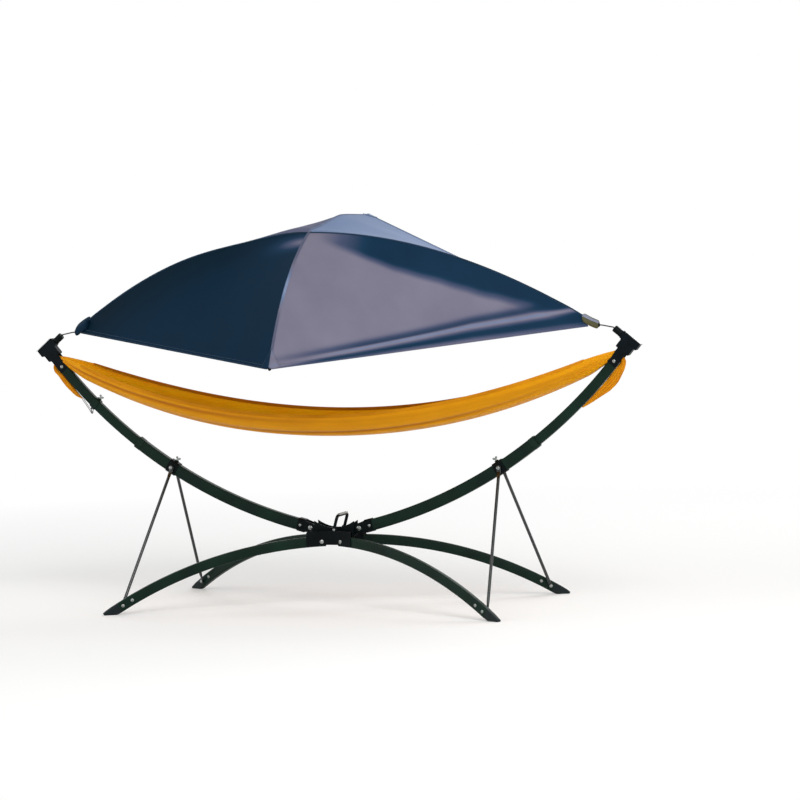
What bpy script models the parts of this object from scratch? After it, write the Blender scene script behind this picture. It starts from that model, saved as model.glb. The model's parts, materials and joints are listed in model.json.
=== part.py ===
"""Hammock slung between the arms of a folding steel stand, with a tilting sunshade on poles.

Units are metres, +X runs along the hammock, -Y is the front and the stand rests on z = 0.
Each piece is modelled round the vertical plane that both arms lie in, and one empty carries all.
"""

import bpy
import bmesh
from math import acos, asin, atan2, ceil, cos, floor, pi, radians, sin, sqrt
from mathutils import Matrix, Vector

# Driving dimensions
GAP = 0.0003
HIDDEN_PLAY = 0.0007
SLIDE_GAP = 0.0008

ARM_PIVOT_X = 0.120
ARM_PIVOT_Z = 0.356
ARM_START_SLOPE = radians(12.544)
ARM_ARC_RADIUS = 2.255
ARM_RIVET_S = 1.478
LOWER_TUBE_DEPTH = 0.054
LOWER_TUBE_WIDTH = 0.038
UPPER_TUBE_DEPTH = 0.045
UPPER_TUBE_WIDTH = 0.029
ARM_WALL = 0.002
TUBE_CORNER = 0.006
LOWER_TUBE_START_S = 0.032
LOWER_TUBE_END_S = 0.9535
UPPER_TUBE_START_S = 0.800
UPPER_TUBE_PAST_RIVET = 0.012
BUSH_DEPTH_INSIDE = 0.050
BUSH_LIP = 0.0065
BUSH_LIP_OVERHANG = 0.001

BRACKET_WALL = 0.0032
BRACKET_SLEEVE_END_S = 0.066
KNUCKLE_RADIUS = 0.022
ARM_PIN_RADIUS = 0.007
ARM_PIN_HEAD_RADIUS = 0.0105
ARM_PIN_HEAD_HEIGHT = 0.0035
BRACKET_RIVET_RADIUS = 0.004
BRACKET_RIVET_HEAD_HEIGHT = 0.0023
BRACKET_RIVET_S = (0.052,)

CORE_EYE_RADIUS = 0.018
CORE_WAIST_DROP = 0.020
SADDLE_WALL = 0.003
SADDLE_WEB = 0.004
SADDLE_HALF_LENGTH = 0.098
SADDLE_BOTTOM_Z = 0.318
SADDLE_MIDDLE_TOP_Z = 0.357
SADDLE_END_TOP_Z = 0.389

LEG_PIN_X = 0.053
LEG_PIN_Y = 0.056
LEG_PIN_Z = 0.297
FOOT_TIP_X = 0.959
FOOT_TIP_Y = 0.514
LEG_ARC_RADIUS = 1.900
LEG_START_SLOPE = radians(1.0)
LEG_DEPTH = 0.046
LEG_WIDTH = 0.028
LEG_WALL = 0.002
LEG_INBOARD = 0.020
LEG_END_P = 0.935
LEG_PIN_RADIUS = 0.006
LEG_PIN_HEAD_RADIUS = 0.0095
LEG_PIN_HEAD_HEIGHT = 0.003

HUB_PLATE = 0.0035
HUB_PLATE_LOW_Z = 0.2815
HUB_PLATE_HIGH_Z = 0.345
HUB_PLATE_DROP = 0.0075
HUB_PLATE_CORNER = 0.008
OUTER_PLATE_MIDDLE_Y = 0.0622
OUTER_PLATE_END_X = 0.109
INNER_PLATE_END_X = 0.106
CROSS_BOLT_RADIUS = 0.005
CROSS_BOLT_HEAD_RADIUS = 0.0085
CROSS_BOLT_HEAD_HEIGHT = 0.003
CROSS_BOLT_X = 0.018
CROSS_BOLT_Z = 0.331

HANDLE_PIVOT_X = 0.0144
HANDLE_PIVOT_Z = 0.352
HANDLE_HEIGHT = 0.069
HANDLE_GRIP_RADIUS = 0.008
HANDLE_GRIP_INSET = 0.020
HANDLE_LEAN = radians(16)
HANDLE_STRAP_WIDTH = 0.014
HANDLE_STRAP = 0.0035
HANDLE_CORNER = 0.018
HANDLE_EAR_RADIUS = 0.011
HANDLE_PIN_RADIUS = 0.003
HANDLE_PIN_HEAD_RADIUS = 0.006
HANDLE_PIN_HEAD_HEIGHT = 0.002

FOOT_PLUG_START_P = 0.845
FOOT_FLAT_START_P = 0.950
FOOT_FLAT_LENGTH = 0.056
FOOT_TOE_REACH = 0.0065
FOOT_TOE_HEIGHT = 0.007
FOOT_TOE_SLOPE = radians(58)
FOOT_TOE_NARROWING = 0.004
FOOT_STEPS = 8
STRUT_SPACER = 0.003
STRUT_SPACER_RADIUS = 0.0075
FOOT_RIVET_RADIUS = 0.004
FOOT_RIVET_HEAD_RADIUS = 0.0075
FOOT_RIVET_HEAD_HEIGHT = 0.0025
FOOT_RIVET_P = 0.877
STRUT_PIN_P = 0.920

COLLAR_S = 0.745
COLLAR_LENGTH = 0.050
COLLAR_WALL = 0.003
COLLAR_BOSS_RADIUS = 0.011
COLLAR_BOSS = 0.0042
COLLAR_PIN_RADIUS = 0.003
COLLAR_PIN_HEAD_RADIUS = 0.008
COLLAR_PIN_HEAD_HEIGHT = 0.003
STRUT_RADIUS = 0.0065
COLLAR_EYE_RADIUS = 0.012
STRUT_EYE = 0.003
COLLAR_EYE_PLAY = 0.003
COLLAR_EYE_FLAT = 0.016
FOOT_EYE_FLAT = 0.009
FOOT_EYE_RADIUS = 0.010
FOOT_EYE_PLAY = 0.0028
FOOT_EYE_HOLE_PLAY = 0.0014
FOOT_EYE_LEAN = radians(12.3)
STRUT_TAPER_LENGTH = 0.045

SCREW_BOSS_RADIUS = 0.0095
SCREW_BOSS = 0.006
SCREW_RADIUS = 0.003
SCREW_STEM_RADIUS = 0.005
SCREW_STEM = 0.006
SCREW_WING_SPAN = 0.024
SCREW_WING_HEIGHT = 0.013
SCREW_WING = 0.0035

CHEEK_WALL = 0.003
CHEEK_BELOW_RIVET = 0.020
CHEEK_HALF_DEPTH = 0.024
CHEEK_TOP_T = 0.060
CAP_LOW_T = 0.058
CAP_STEP_T = 0.099
CAP_HIGH_T = 0.137
CAP_LOW_HALF_DEPTH = 0.036
CAP_HIGH_HALF_DEPTH = 0.0485
CAP_FILLET = 0.004
HEAD_RIVET_RADIUS = 0.0045
HEAD_RIVET_HEAD_HEIGHT = 0.003
TOP_PLATE = 0.004
TOP_PLATE_INNER_R = -0.045
TOP_PLATE_OUTER_R = 0.052
TOP_PLATE_HALF_WIDTH = 0.020
BARREL_T = 0.114
BARREL_RADIUS = 0.016
BARREL_LENGTH = 0.044
BARREL_BEVEL = 0.003
WIRE_RADIUS = 0.003
WIRE_REACH_IN_POCKET = 0.022

TAIL_HALF_WIDTH = 0.011
TAIL_HALF_THICKNESS = 0.006
TAIL_TIP_S_RIGHT = 1.222
TAIL_TIP_S_LEFT = 1.304

TENSION_COLLAR_S = 1.238
TENSION_COLLAR_LENGTH = 0.030
TENSION_COLLAR_WALL = 0.0025
TENSION_LUG_RADIUS = 0.006
TENSION_LUG_HEIGHT = 0.011
RING_RADIUS = 0.011
RING_WIRE = 0.0016
CORD_RADIUS = 0.0015
CORD_SPREAD = 0.006

SHADE_HALF_LENGTH = 1.294
SHADE_PIVOT_Z = 1.273
SHADE_TILT = radians(26.4)
SHADE_HALF_WIDTH = 0.733
SHADE_CORNER_RISE = 0.205
SHADE_CROWN_RISE = 0.498
SHADE_CLOTH = 0.003
SHADE_END_TRIM = 0.0712
SHADE_CORNER_TRIM = 0.0367
POLE_RADIUS = 0.0045
POLE_GAP = 0.0006
POCKET_CLOTH_GAP = 0.0092
POCKET_END_INSET = 0.003
POCKET_HALF_THICKNESS = 0.011
POCKET_HALF_WIDTH = 0.020
POLE_REACH_IN_POCKET = 0.026
TIP_RADIUS = 0.008
TIP_LENGTH = 0.038
TIP_BORE_DEPTH = 0.030

BED_AXIS_RISE = 0.0389
BED_END_REACH = 0.0250
BED_ROUND_LENGTH = 0.0505
BED_GATHER_LENGTH = 0.035
BED_END_RADIUS = 0.0145
BED_HALF_WIDTH = 0.240
BED_HEM_SAG = 0.2575
BED_HEM_RISE = 0.273
BED_BELLY_SAG = 0.3715
BED_BELLY_RISE = 0.332
BED_CLOTH = 0.008

ARM_FACET = radians(2.2)
LEG_FACET = radians(3.4)
ROUND_STEPS = 12

# Places worked out from the driving dimensions
ARC_CENTRE_X = ARM_PIVOT_X - ARM_ARC_RADIUS * sin(ARM_START_SLOPE)
ARC_CENTRE_Z = ARM_PIVOT_Z + ARM_ARC_RADIUS * cos(ARM_START_SLOPE)
LEG_RUN_X = FOOT_TIP_X - LEG_PIN_X
LEG_RUN_Y = FOOT_TIP_Y - LEG_PIN_Y
LEG_SPLAY = atan2(LEG_RUN_Y, LEG_RUN_X)
LEG_ARC_X = -LEG_ARC_RADIUS * sin(LEG_START_SLOPE)
LEG_ARC_Z = -LEG_ARC_RADIUS * cos(LEG_START_SLOPE)
ARMS_PLANE_Y = SHADE_CORNER_RISE * sin(SHADE_TILT)

UPPER_CORNER = TUBE_CORNER - (LOWER_TUBE_DEPTH - UPPER_TUBE_DEPTH) / 2 * (2 - sqrt(2))
CHEEK_INNER_Y = LOWER_TUBE_WIDTH / 2 + GAP
CHEEK_OUTER_Y = CHEEK_INNER_Y + BRACKET_WALL
SADDLE_INNER_Y = CHEEK_OUTER_Y + GAP
SADDLE_OUTER_Y = SADDLE_INNER_Y + SADDLE_WALL
INNER_PLATE_MIDDLE_Y = SADDLE_OUTER_Y + GAP + HUB_PLATE / 2
INNER_PLATE_FACE_Y = INNER_PLATE_MIDDLE_Y + HUB_PLATE / 2
OUTER_PLATE_FACE_Y = OUTER_PLATE_MIDDLE_Y + HUB_PLATE / 2
LEG_PLATE_OFFSET = LEG_WIDTH / 2 + GAP + HUB_PLATE / 2
HANDLE_HALF_SPAN = OUTER_PLATE_FACE_Y + GAP + HANDLE_STRAP / 2

COLLAR_SIDE_Y = LOWER_TUBE_WIDTH / 2 + SLIDE_GAP + COLLAR_WALL
BOSS_FACE_Y = COLLAR_SIDE_Y + COLLAR_BOSS
STRUT_EYE_Y = BOSS_FACE_Y + COLLAR_EYE_PLAY + STRUT_EYE / 2
COLLAR_PIN_HEAD_Y = STRUT_EYE_Y + STRUT_EYE / 2 + COLLAR_EYE_PLAY
COLLAR_EYE_HOLE = COLLAR_PIN_RADIUS + COLLAR_EYE_PLAY
FOOT_SIDE = LEG_WIDTH / 2 + GAP + STRUT_SPACER
STRUT_FOOT_OFFSET = FOOT_SIDE + FOOT_EYE_PLAY + STRUT_EYE / 2

HEAD_CHEEK_INNER_Y = UPPER_TUBE_WIDTH / 2 + GAP
HEAD_CHEEK_OUTER_Y = HEAD_CHEEK_INNER_Y + CHEEK_WALL
BARREL_ROOT_R = -CAP_HIGH_HALF_DEPTH - GAP

SHADE_END_X = SHADE_HALF_LENGTH - SHADE_END_TRIM
SHADE_CORNER_Y = SHADE_HALF_WIDTH - SHADE_CORNER_TRIM
POCKET_START_X = SHADE_END_X + POCKET_CLOTH_GAP
POCKET_END_X = SHADE_HALF_LENGTH - POCKET_END_INSET

HEAD_ANGLE = ARM_START_SLOPE + ARM_RIVET_S / ARM_ARC_RADIUS
BED_AXIS_Z = ARC_CENTRE_Z - ARM_ARC_RADIUS * cos(HEAD_ANGLE) + BED_AXIS_RISE
BED_END_X = ARC_CENTRE_X + ARM_ARC_RADIUS * sin(HEAD_ANGLE) + BED_END_REACH
BED_ROUND_X = BED_END_X - BED_ROUND_LENGTH
BED_SPREAD_X = BED_ROUND_X - BED_GATHER_LENGTH


def clear_scene():
    for old in list(bpy.data.objects):
        bpy.data.objects.remove(old, do_unlink=True)


def make_collection(name):
    collection = bpy.data.collections.new(name)
    bpy.context.scene.collection.children.link(collection)
    return collection


clear_scene()
PARTS = make_collection("hammock")
CUTTERS = make_collection("cutters")


def make_material(name, colour, roughness, metallic):
    material = bpy.data.materials.new(name)
    material.use_nodes = True
    shader = material.node_tree.nodes["Principled BSDF"]
    shader.inputs["Base Color"].default_value = (*colour, 1.0)
    shader.inputs["Roughness"].default_value = roughness
    shader.inputs["Metallic"].default_value = metallic
    material.diffuse_color = (*colour, 1.0)
    return material


GREEN_STEEL = make_material("green_powder_coat", (0.012, 0.045, 0.030), 0.35, 0.0)
DARK_IRON = make_material("dark_bracket_coat", (0.010, 0.018, 0.015), 0.40, 0.0)
BLACK_STEEL = make_material("black_strut_coat", (0.010, 0.012, 0.012), 0.25, 0.0)
ZINC = make_material("zinc_plate", (0.62, 0.63, 0.62), 0.30, 1.0)
GREY_PLASTIC = make_material("grey_foot_plastic", (0.060, 0.075, 0.068), 0.55, 0.0)
BLACK_PLASTIC = make_material("black_plastic", (0.015, 0.018, 0.018), 0.45, 0.0)
POLE_FIBRE = make_material("pole_fibreglass", (0.05, 0.06, 0.07), 0.45, 0.0)
NAVY_CLOTH = make_material("navy_shade_cloth", (0.005, 0.022, 0.042), 0.85, 0.0)
OLIVE_CLOTH = make_material("olive_webbing", (0.16, 0.16, 0.10), 0.85, 0.0)
ORANGE_CLOTH = make_material("orange_hammock_cloth", (0.80, 0.30, 0.006), 0.75, 0.0)
GREY_CORD = make_material("grey_cord", (0.35, 0.36, 0.36), 0.80, 0.0)


def make_object(name, mesh, collection=None):
    made = bpy.data.objects.new(name, mesh)
    (collection or PARTS).objects.link(made)
    return made


def object_from_bmesh(name, shape, collection=None):
    mesh = bpy.data.meshes.new(name)
    shape.to_mesh(mesh)
    shape.free()
    return make_object(name, mesh, collection)


def bake(made):
    """Replaces an object's data by its evaluated mesh and returns the mesh object."""
    bpy.context.view_layer.update()
    depsgraph = bpy.context.evaluated_depsgraph_get()
    mesh = bpy.data.meshes.new_from_object(made.evaluated_get(depsgraph))
    if made.type == "MESH":
        made.modifiers.clear()
        made.data = mesh
        return made
    weld = bmesh.new()
    weld.from_mesh(mesh)
    bmesh.ops.remove_doubles(weld, verts=weld.verts, dist=0.00001)
    weld.to_mesh(mesh)
    weld.free()
    name = made.name
    solid = bpy.data.objects.new(name + "_mesh", mesh)
    solid.matrix_world = made.matrix_world
    made.users_collection[0].objects.link(solid)
    bpy.data.objects.remove(made, do_unlink=True)
    solid.name = name
    return solid


def move_mesh(made, matrix):
    made.data.transform(matrix)
    if matrix.determinant() < 0:
        made.data.flip_normals()
    return made


def combine(made, other, operation):
    change = made.modifiers.new(operation.lower(), "BOOLEAN")
    change.operation = operation
    change.solver = "EXACT"
    change.object = other
    bake(made)
    bpy.data.objects.remove(other, do_unlink=True)
    return made


def cut(made, cutter):
    cutter.hide_render = True
    cutter.display_type = "WIRE"
    return combine(made, cutter, "DIFFERENCE")


def join(made, other):
    return combine(made, other, "UNION")


def axis_frame(centre, axis):
    """Matrix that takes local Z to the axis and the origin to the centre."""
    turn = Vector(axis).normalized().to_track_quat("Z", "Y").to_matrix().to_4x4()
    return Matrix.Translation(Vector(centre)) @ turn


def cylinder(name, radius, length, centre, axis, steps=ROUND_STEPS):
    shape = bmesh.new()
    bmesh.ops.create_cone(shape, cap_ends=True, segments=steps, radius1=radius, radius2=radius,
                          depth=length)
    made = object_from_bmesh(name, shape, CUTTERS)
    return move_mesh(made, axis_frame(centre, axis))


def box(name, low, high):
    low, high = Vector(low), Vector(high)
    shape = bmesh.new()
    bmesh.ops.create_cube(shape, size=1.0)
    made = object_from_bmesh(name, shape, CUTTERS)
    size = high - low
    return move_mesh(made, Matrix.Translation((low + high) / 2) @ Matrix.Diagonal((*size, 1.0)))


def drill(made, radius, length, centre, axis, steps=ROUND_STEPS):
    return cut(made, cylinder("bore", radius, length, centre, axis, steps))


def turned(name, profile, centre, axis, steps=ROUND_STEPS):
    """Spins (radius, height) points round Z and stands the solid on an axis."""
    shape = bmesh.new()
    points = [shape.verts.new((radius, 0.0, height)) for radius, height in profile]
    edges = [shape.edges.new(pair) for pair in zip(points, points[1:])]
    bmesh.ops.spin(shape, geom=points + edges, cent=(0, 0, 0), axis=(0, 0, 1), angle=2 * pi,
                   steps=steps, use_merge=True)
    bmesh.ops.remove_doubles(shape, verts=shape.verts, dist=0.000001)
    bmesh.ops.recalc_face_normals(shape, faces=shape.faces)
    made = object_from_bmesh(name, shape, CUTTERS)
    return move_mesh(made, axis_frame(centre, axis))


def headed_pin(name, radius, half_length, head_radius, head_height, centre, axis):
    """Pin along an axis with a domed head on each end."""
    profile = [(0.0, half_length + head_height), (head_radius * 0.7, half_length + head_height)]
    profile += [(head_radius, half_length), (radius, half_length)]
    profile += [(r, -h) for r, h in reversed(profile)]
    return turned(name, profile, centre, axis, steps=10)


def arc_points(centre_x, centre_y, radius, start, end, steps):
    angles = [start + (end - start) * i / steps for i in range(steps + 1)]
    return [(centre_x + radius * cos(a), centre_y + radius * sin(a)) for a in angles]


def rounded(corners, radius, steps=3):
    """Rounds each corner of a closed outline with an arc of the given radius."""
    outline = []
    count = len(corners)
    for i, corner in enumerate(corners):
        here = Vector(corner)
        before = (Vector(corners[i - 1]) - here).normalized()
        after = (Vector(corners[(i + 1) % count]) - here).normalized()
        half = acos(max(-1.0, min(1.0, before.dot(after)))) / 2
        reach = radius / max(0.01, abs(sin(half) / cos(half)))
        middle = here + (before + after).normalized() * radius / sin(half)
        first = here + before * reach - middle
        last = here + after * reach - middle
        start = atan2(first.y, first.x)
        sweep = atan2(last.y, last.x) - start
        sweep = (sweep + pi) % (2 * pi) - pi
        for j in range(steps + 1):
            angle = start + sweep * j / steps
            outline.append((middle.x + radius * cos(angle), middle.y + radius * sin(angle)))
    return outline


def plate(name, outline, thickness, frame):
    """Flat outline with an even thickness, its middle on the frame's XY plane."""
    curve = bpy.data.curves.new(name, "CURVE")
    curve.dimensions = "2D"
    curve.fill_mode = "BOTH"
    curve.extrude = thickness / 2
    spline = curve.splines.new("POLY")
    spline.points.add(len(outline) - 1)
    for point, (x, y) in zip(spline.points, outline):
        point.co = (x, y, 0.0, 1.0)
    spline.use_cyclic_u = True
    made = make_object(name, curve, CUTTERS)
    return move_mesh(bake(made), frame)


def wire(name, points, radius, roundness=1, collection=None):
    """Round rod along a list of points, with closed ends."""
    curve = bpy.data.curves.new(name, "CURVE")
    curve.dimensions = "3D"
    curve.bevel_depth = radius
    curve.bevel_resolution = roundness
    curve.use_fill_caps = True
    spline = curve.splines.new("POLY")
    spline.points.add(len(points) - 1)
    for point, place in zip(spline.points, points):
        point.co = (*place, 1.0)
    return bake(make_object(name, curve, collection or CUTTERS))


def loft(name, sections):
    """Closed solid through rings of equal count, with flat ends."""
    shape = bmesh.new()
    rings = [[shape.verts.new(point) for point in section] for section in sections]
    count = len(rings[0])
    for ring, following in zip(rings, rings[1:]):
        for i in range(count):
            j = (i + 1) % count
            shape.faces.new((ring[i], ring[j], following[j], following[i]))
    shape.faces.new(list(reversed(rings[0])))
    shape.faces.new(rings[-1])
    bmesh.ops.recalc_face_normals(shape, faces=shape.faces)
    return object_from_bmesh(name, shape, CUTTERS)


def box_section(depth, width, corner):
    half_depth, half_width = depth / 2, width / 2
    corners = [(half_depth, half_width), (-half_depth, half_width)]
    corners += [(-half_depth, -half_width), (half_depth, -half_width)]
    return rounded(corners, corner, 1)


def nested_corner(corner, outward):
    """Corner cut of a section that runs parallel to another's at a distance outward."""
    return corner + outward * (2 - sqrt(2))


def facet_share(angle, facet):
    """How far a faceted arc lies inside its true radius at an angle, so that nested tubes fit."""
    middle = (floor(angle / facet) + 0.5) * facet
    return cos(facet / 2) / cos(angle - middle)


def facet_angles(start, end, facet):
    first, last = floor(start / facet) + 1, ceil(end / facet) - 1
    return [start] + [facet * i for i in range(first, last + 1)] + [end]


def bent_tube(name, centre, radius, rise, start, end, facet, depth, width, wall, corner):
    """Rectangular tube bent round a level axis along Y, open at both ends.

    Angles run from straight down for an arm (rise -1) or straight up for a leg (rise 1).
    A wall of None gives a solid bar.
    """
    centre_x, centre_z = centre
    section = box_section(depth, width, corner)
    shape = bmesh.new()
    rings = []
    for angle in facet_angles(start, end, facet):
        share = facet_share(angle - 0.0000001 if angle == end else angle, facet)
        reaches = [(radius + offset) * share for offset, side in section]
        rings.append([shape.verts.new((centre_x + r * sin(angle), side, centre_z + rise * r * cos(angle)))
                      for r, (offset, side) in zip(reaches, section)])
    for ring in rings:
        for i, vertex in enumerate(ring):
            shape.edges.new((vertex, ring[(i + 1) % len(ring)]))
    bmesh.ops.bridge_loops(shape, edges=shape.edges[:])
    if wall is None:
        bmesh.ops.holes_fill(shape, edges=[e for e in shape.edges if e.is_boundary])
    bmesh.ops.recalc_face_normals(shape, faces=shape.faces)
    made = object_from_bmesh(name, shape, CUTTERS)
    if wall is not None:
        skin = made.modifiers.new("wall", "SOLIDIFY")
        skin.thickness = wall
        skin.offset = -1.0
        skin.use_even_offset = True
        bake(made)
    return made


def arm_angle(s):
    return ARM_START_SLOPE + s / ARM_ARC_RADIUS


def arm_place(s, outward=0.0, y=0.0):
    """Point of the right arm at arc length s from its pivot, moved away from the arc's centre."""
    angle = arm_angle(s)
    reach = (ARM_ARC_RADIUS + outward) * facet_share(angle, ARM_FACET)
    return Vector((ARC_CENTRE_X + reach * sin(angle), y, ARC_CENTRE_Z - reach * cos(angle)))


def arm_along(s):
    angle = arm_angle(s)
    return Vector((cos(angle), 0.0, sin(angle)))


def arm_outward(s):
    angle = arm_angle(s)
    return Vector((sin(angle), 0.0, -cos(angle)))


def arm_plate_frame(s, y):
    """Frame whose X runs along the arm, Y outward from the arc and Z across the arm."""
    along, outward = arm_along(s), arm_outward(s)
    turn = Matrix((along, outward, along.cross(outward))).transposed().to_4x4()
    return Matrix.Translation(arm_place(s, 0.0, y)) @ turn


def head_place(t, outward=0.0, y=0.0):
    """Point of the right head, t along the straight line from its rivet."""
    return arm_place(ARM_RIVET_S, 0.0, y) + arm_along(ARM_RIVET_S) * t + arm_outward(ARM_RIVET_S) * outward


def arm_tube(name, start_s, end_s, depth, width, wall, corner=TUBE_CORNER):
    return bent_tube(name, (ARC_CENTRE_X, ARC_CENTRE_Z), ARM_ARC_RADIUS, -1, arm_angle(start_s),
                     arm_angle(end_s), ARM_FACET, depth, width, wall, corner)


def leg_height(p):
    """Height of a leg's centre line above its pin at plan distance p."""
    return LEG_ARC_Z + sqrt(LEG_ARC_RADIUS ** 2 - (p - LEG_ARC_X) ** 2)


def leg_angle(p):
    return asin((p - LEG_ARC_X) / LEG_ARC_RADIUS)


def leg_frame(side_x, side_y):
    """Frame of a leg: X outward along it in plan, Z up, origin on its pin."""
    direction = atan2(side_y * sin(LEG_SPLAY), side_x * cos(LEG_SPLAY))
    place = Matrix.Translation((side_x * LEG_PIN_X, side_y * LEG_PIN_Y, LEG_PIN_Z))
    return place @ Matrix.Rotation(direction, 4, "Z")


def inner_side(side_x, side_y):
    """Sign of the leg frame's Y that points at the arms."""
    return -side_x * side_y


SIDES = {"right": 1, "left": -1}
ENDS = {"front": -1, "rear": 1}

STAND = bpy.data.objects.new("stand", None)
PARTS.objects.link(STAND)
STAND.location = (0.0, ARMS_PLANE_Y, 0.0)


def make_pivot(name, place, turn=None):
    """Empty on a joint's axis, carried by the stand."""
    pivot = bpy.data.objects.new("pivot_" + name, None)
    PARTS.objects.link(pivot)
    pivot.parent = STAND
    pivot.location = place
    if turn is not None:
        pivot.rotation_euler = turn
    return pivot


def settle(made, name, material, pivot=None, mirror=None, smooth=radians(35)):
    """Names a finished piece, gives it its finish and hangs it on its pivot or the stand."""
    made.name = name
    if mirror is not None:
        move_mesh(made, mirror)
    made.data.materials.clear()
    made.data.materials.append(material)
    made.data.shade_smooth()
    made.data.set_sharp_from_angle(angle=smooth)
    for holder in list(made.users_collection):
        holder.objects.unlink(made)
    PARTS.objects.link(made)
    if pivot is None:
        made.parent = STAND
        return made
    local = Matrix.LocRotScale(pivot.location, pivot.rotation_euler, None).inverted()
    made.data.transform(local)
    made.parent = pivot
    return made


def side_mirror(side):
    return None if side > 0 else Matrix.Diagonal((-1, 1, 1, 1))


def level_frame(y):
    """Frame that lays an outline drawn in X and Z on the vertical plane at y."""
    return Matrix.Translation((0, y, 0)) @ Matrix.Rotation(pi / 2, 4, "X")


# Hub

def hub_core():
    eye_z = ARM_PIVOT_Z
    low = SADDLE_BOTTOM_Z + SADDLE_WEB + GAP
    outline = arc_points(ARM_PIVOT_X, eye_z, CORE_EYE_RADIUS, -pi / 2, pi / 2, 8)
    top = eye_z + CORE_EYE_RADIUS
    waist = [(ARM_PIVOT_X * c, top - CORE_WAIST_DROP * (1 - c * c)) for c in (0.6, 0.3, 0, -0.3, -0.6)]
    outline += waist
    outline += arc_points(-ARM_PIVOT_X, eye_z, CORE_EYE_RADIUS, pi / 2, 3 * pi / 2, 8)
    shoulder = ARM_PIVOT_X - KNUCKLE_RADIUS - 0.004
    outline += [(-shoulder, low), (shoulder, low)]
    core = plate("hub_core", outline, 2 * (CHEEK_INNER_Y - GAP), level_frame(0))
    for side in (1, -1):
        drill(core, ARM_PIN_RADIUS + GAP, 0.1, (side * ARM_PIVOT_X, 0, eye_z), (0, 1, 0))
        join(core, headed_pin("bolt", CROSS_BOLT_RADIUS, INNER_PLATE_FACE_Y + GAP, CROSS_BOLT_HEAD_RADIUS,
                              CROSS_BOLT_HEAD_HEIGHT, (side * CROSS_BOLT_X, 0, CROSS_BOLT_Z), (0, 1, 0)))
    return settle(core, "hub_core", DARK_IRON)


def hub_saddle():
    rise = SADDLE_END_TOP_Z - SADDLE_MIDDLE_TOP_Z
    shares = [1 - i / 6 for i in range(13)]
    outline = [(-SADDLE_HALF_LENGTH, SADDLE_BOTTOM_Z), (SADDLE_HALF_LENGTH, SADDLE_BOTTOM_Z)]
    outline += [(SADDLE_HALF_LENGTH * c, SADDLE_MIDDLE_TOP_Z + rise * c * c) for c in shares]
    middle = (SADDLE_INNER_Y + SADDLE_OUTER_Y) / 2
    saddle = plate("hub_saddle", outline, SADDLE_WALL, level_frame(-middle))
    join(saddle, plate("flange", outline, SADDLE_WALL, level_frame(middle)))
    inside = SADDLE_INNER_Y + SADDLE_WALL / 2
    web_top = SADDLE_BOTTOM_Z + SADDLE_WEB
    join(saddle, box("web", (-SADDLE_HALF_LENGTH, -inside, SADDLE_BOTTOM_Z),
                     (SADDLE_HALF_LENGTH, inside, web_top)))
    for side in (1, -1):
        drill(saddle, CROSS_BOLT_RADIUS + GAP, 0.1, (side * CROSS_BOLT_X, 0, CROSS_BOLT_Z), (0, 1, 0))
    return settle(saddle, "hub_saddle", DARK_IRON)


def bent_hub_plate(middle_y, offset, end_x, ear):
    """Plate across the front of the hub whose ends turn to follow the legs."""
    along = Vector((cos(LEG_SPLAY), -sin(LEG_SPLAY)))
    across = Vector((sin(LEG_SPLAY), cos(LEG_SPLAY)))
    on_line = Vector((LEG_PIN_X, -LEG_PIN_Y)) + across * offset
    bend_x = on_line.x + along.x * (-middle_y - on_line.y) / along.y
    stations = []
    corner_steps = 3
    end_run = (end_x - bend_x) / along.x
    for i in range(corner_steps + 1):
        angle = (pi / 2) * i / corner_steps
        run = end_run - HUB_PLATE_CORNER * (1 - sin(angle))
        inset = HUB_PLATE_CORNER * (1 - cos(angle))
        stations.append((run, inset))
    half = [(bend_x + along.x * 0.004, -middle_y + along.y * 0.004, 0.0, 0.0)]
    half += [(bend_x + along.x * r, -middle_y + along.y * r, HUB_PLATE_DROP * r / end_run, inset)
             for r, inset in stations]
    middle = [(x, -middle_y, 0.0, 0.0) for x in (-bend_x + 0.004, bend_x - 0.004)]
    path = [(-x, y, d, inset) for x, y, d, inset in reversed(half)] + middle + half
    shape = bmesh.new()
    low = [shape.verts.new((x, y, HUB_PLATE_LOW_Z - d + inset)) for x, y, d, inset in path]
    high = [shape.verts.new((x, y, HUB_PLATE_HIGH_Z - inset)) for x, y, d, inset in path]
    for i in range(len(path) - 1):
        shape.faces.new((low[i], low[i + 1], high[i + 1], high[i]))
    made = object_from_bmesh("hub_plate", shape, CUTTERS)
    skin = made.modifiers.new("sheet", "SOLIDIFY")
    skin.thickness = HUB_PLATE
    skin.offset = 0.0
    skin.use_even_offset = True
    bake(made)
    if ear:
        low_z = HUB_PLATE_HIGH_Z - 0.012
        outline = [(HANDLE_PIVOT_X - HANDLE_EAR_RADIUS - 0.004, low_z)]
        outline += [(HANDLE_PIVOT_X + HANDLE_EAR_RADIUS + 0.004, low_z)]
        outline += arc_points(HANDLE_PIVOT_X, HANDLE_PIVOT_Z, HANDLE_EAR_RADIUS, 0, pi, 8)
        join(made, plate("ear", outline, HUB_PLATE, level_frame(-middle_y)))
        join(made, handle_pin(middle_y))
    for side in (1, -1):
        pin_axis = Vector((side * across.x, across.y, 0))
        place = (side * LEG_PIN_X, -LEG_PIN_Y, LEG_PIN_Z)
        drill(made, LEG_PIN_RADIUS + GAP, 0.06, place, pin_axis)
    return made


def handle_pin(middle_y):
    """Pin fixed in the plate's ear, with a head outside the strap."""
    head = HANDLE_HALF_SPAN + HANDLE_STRAP / 2 + GAP
    top = head + HANDLE_PIN_HEAD_HEIGHT
    profile = [(0.0, top), (HANDLE_PIN_HEAD_RADIUS * 0.7, top)]
    profile += [(HANDLE_PIN_HEAD_RADIUS, head), (HANDLE_PIN_RADIUS, head)]
    profile += [(HANDLE_PIN_RADIUS, middle_y), (0.0, middle_y)]
    return turned("pin", profile, (HANDLE_PIVOT_X, 0, HANDLE_PIVOT_Z), (0, -1, 0), steps=12)


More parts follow.
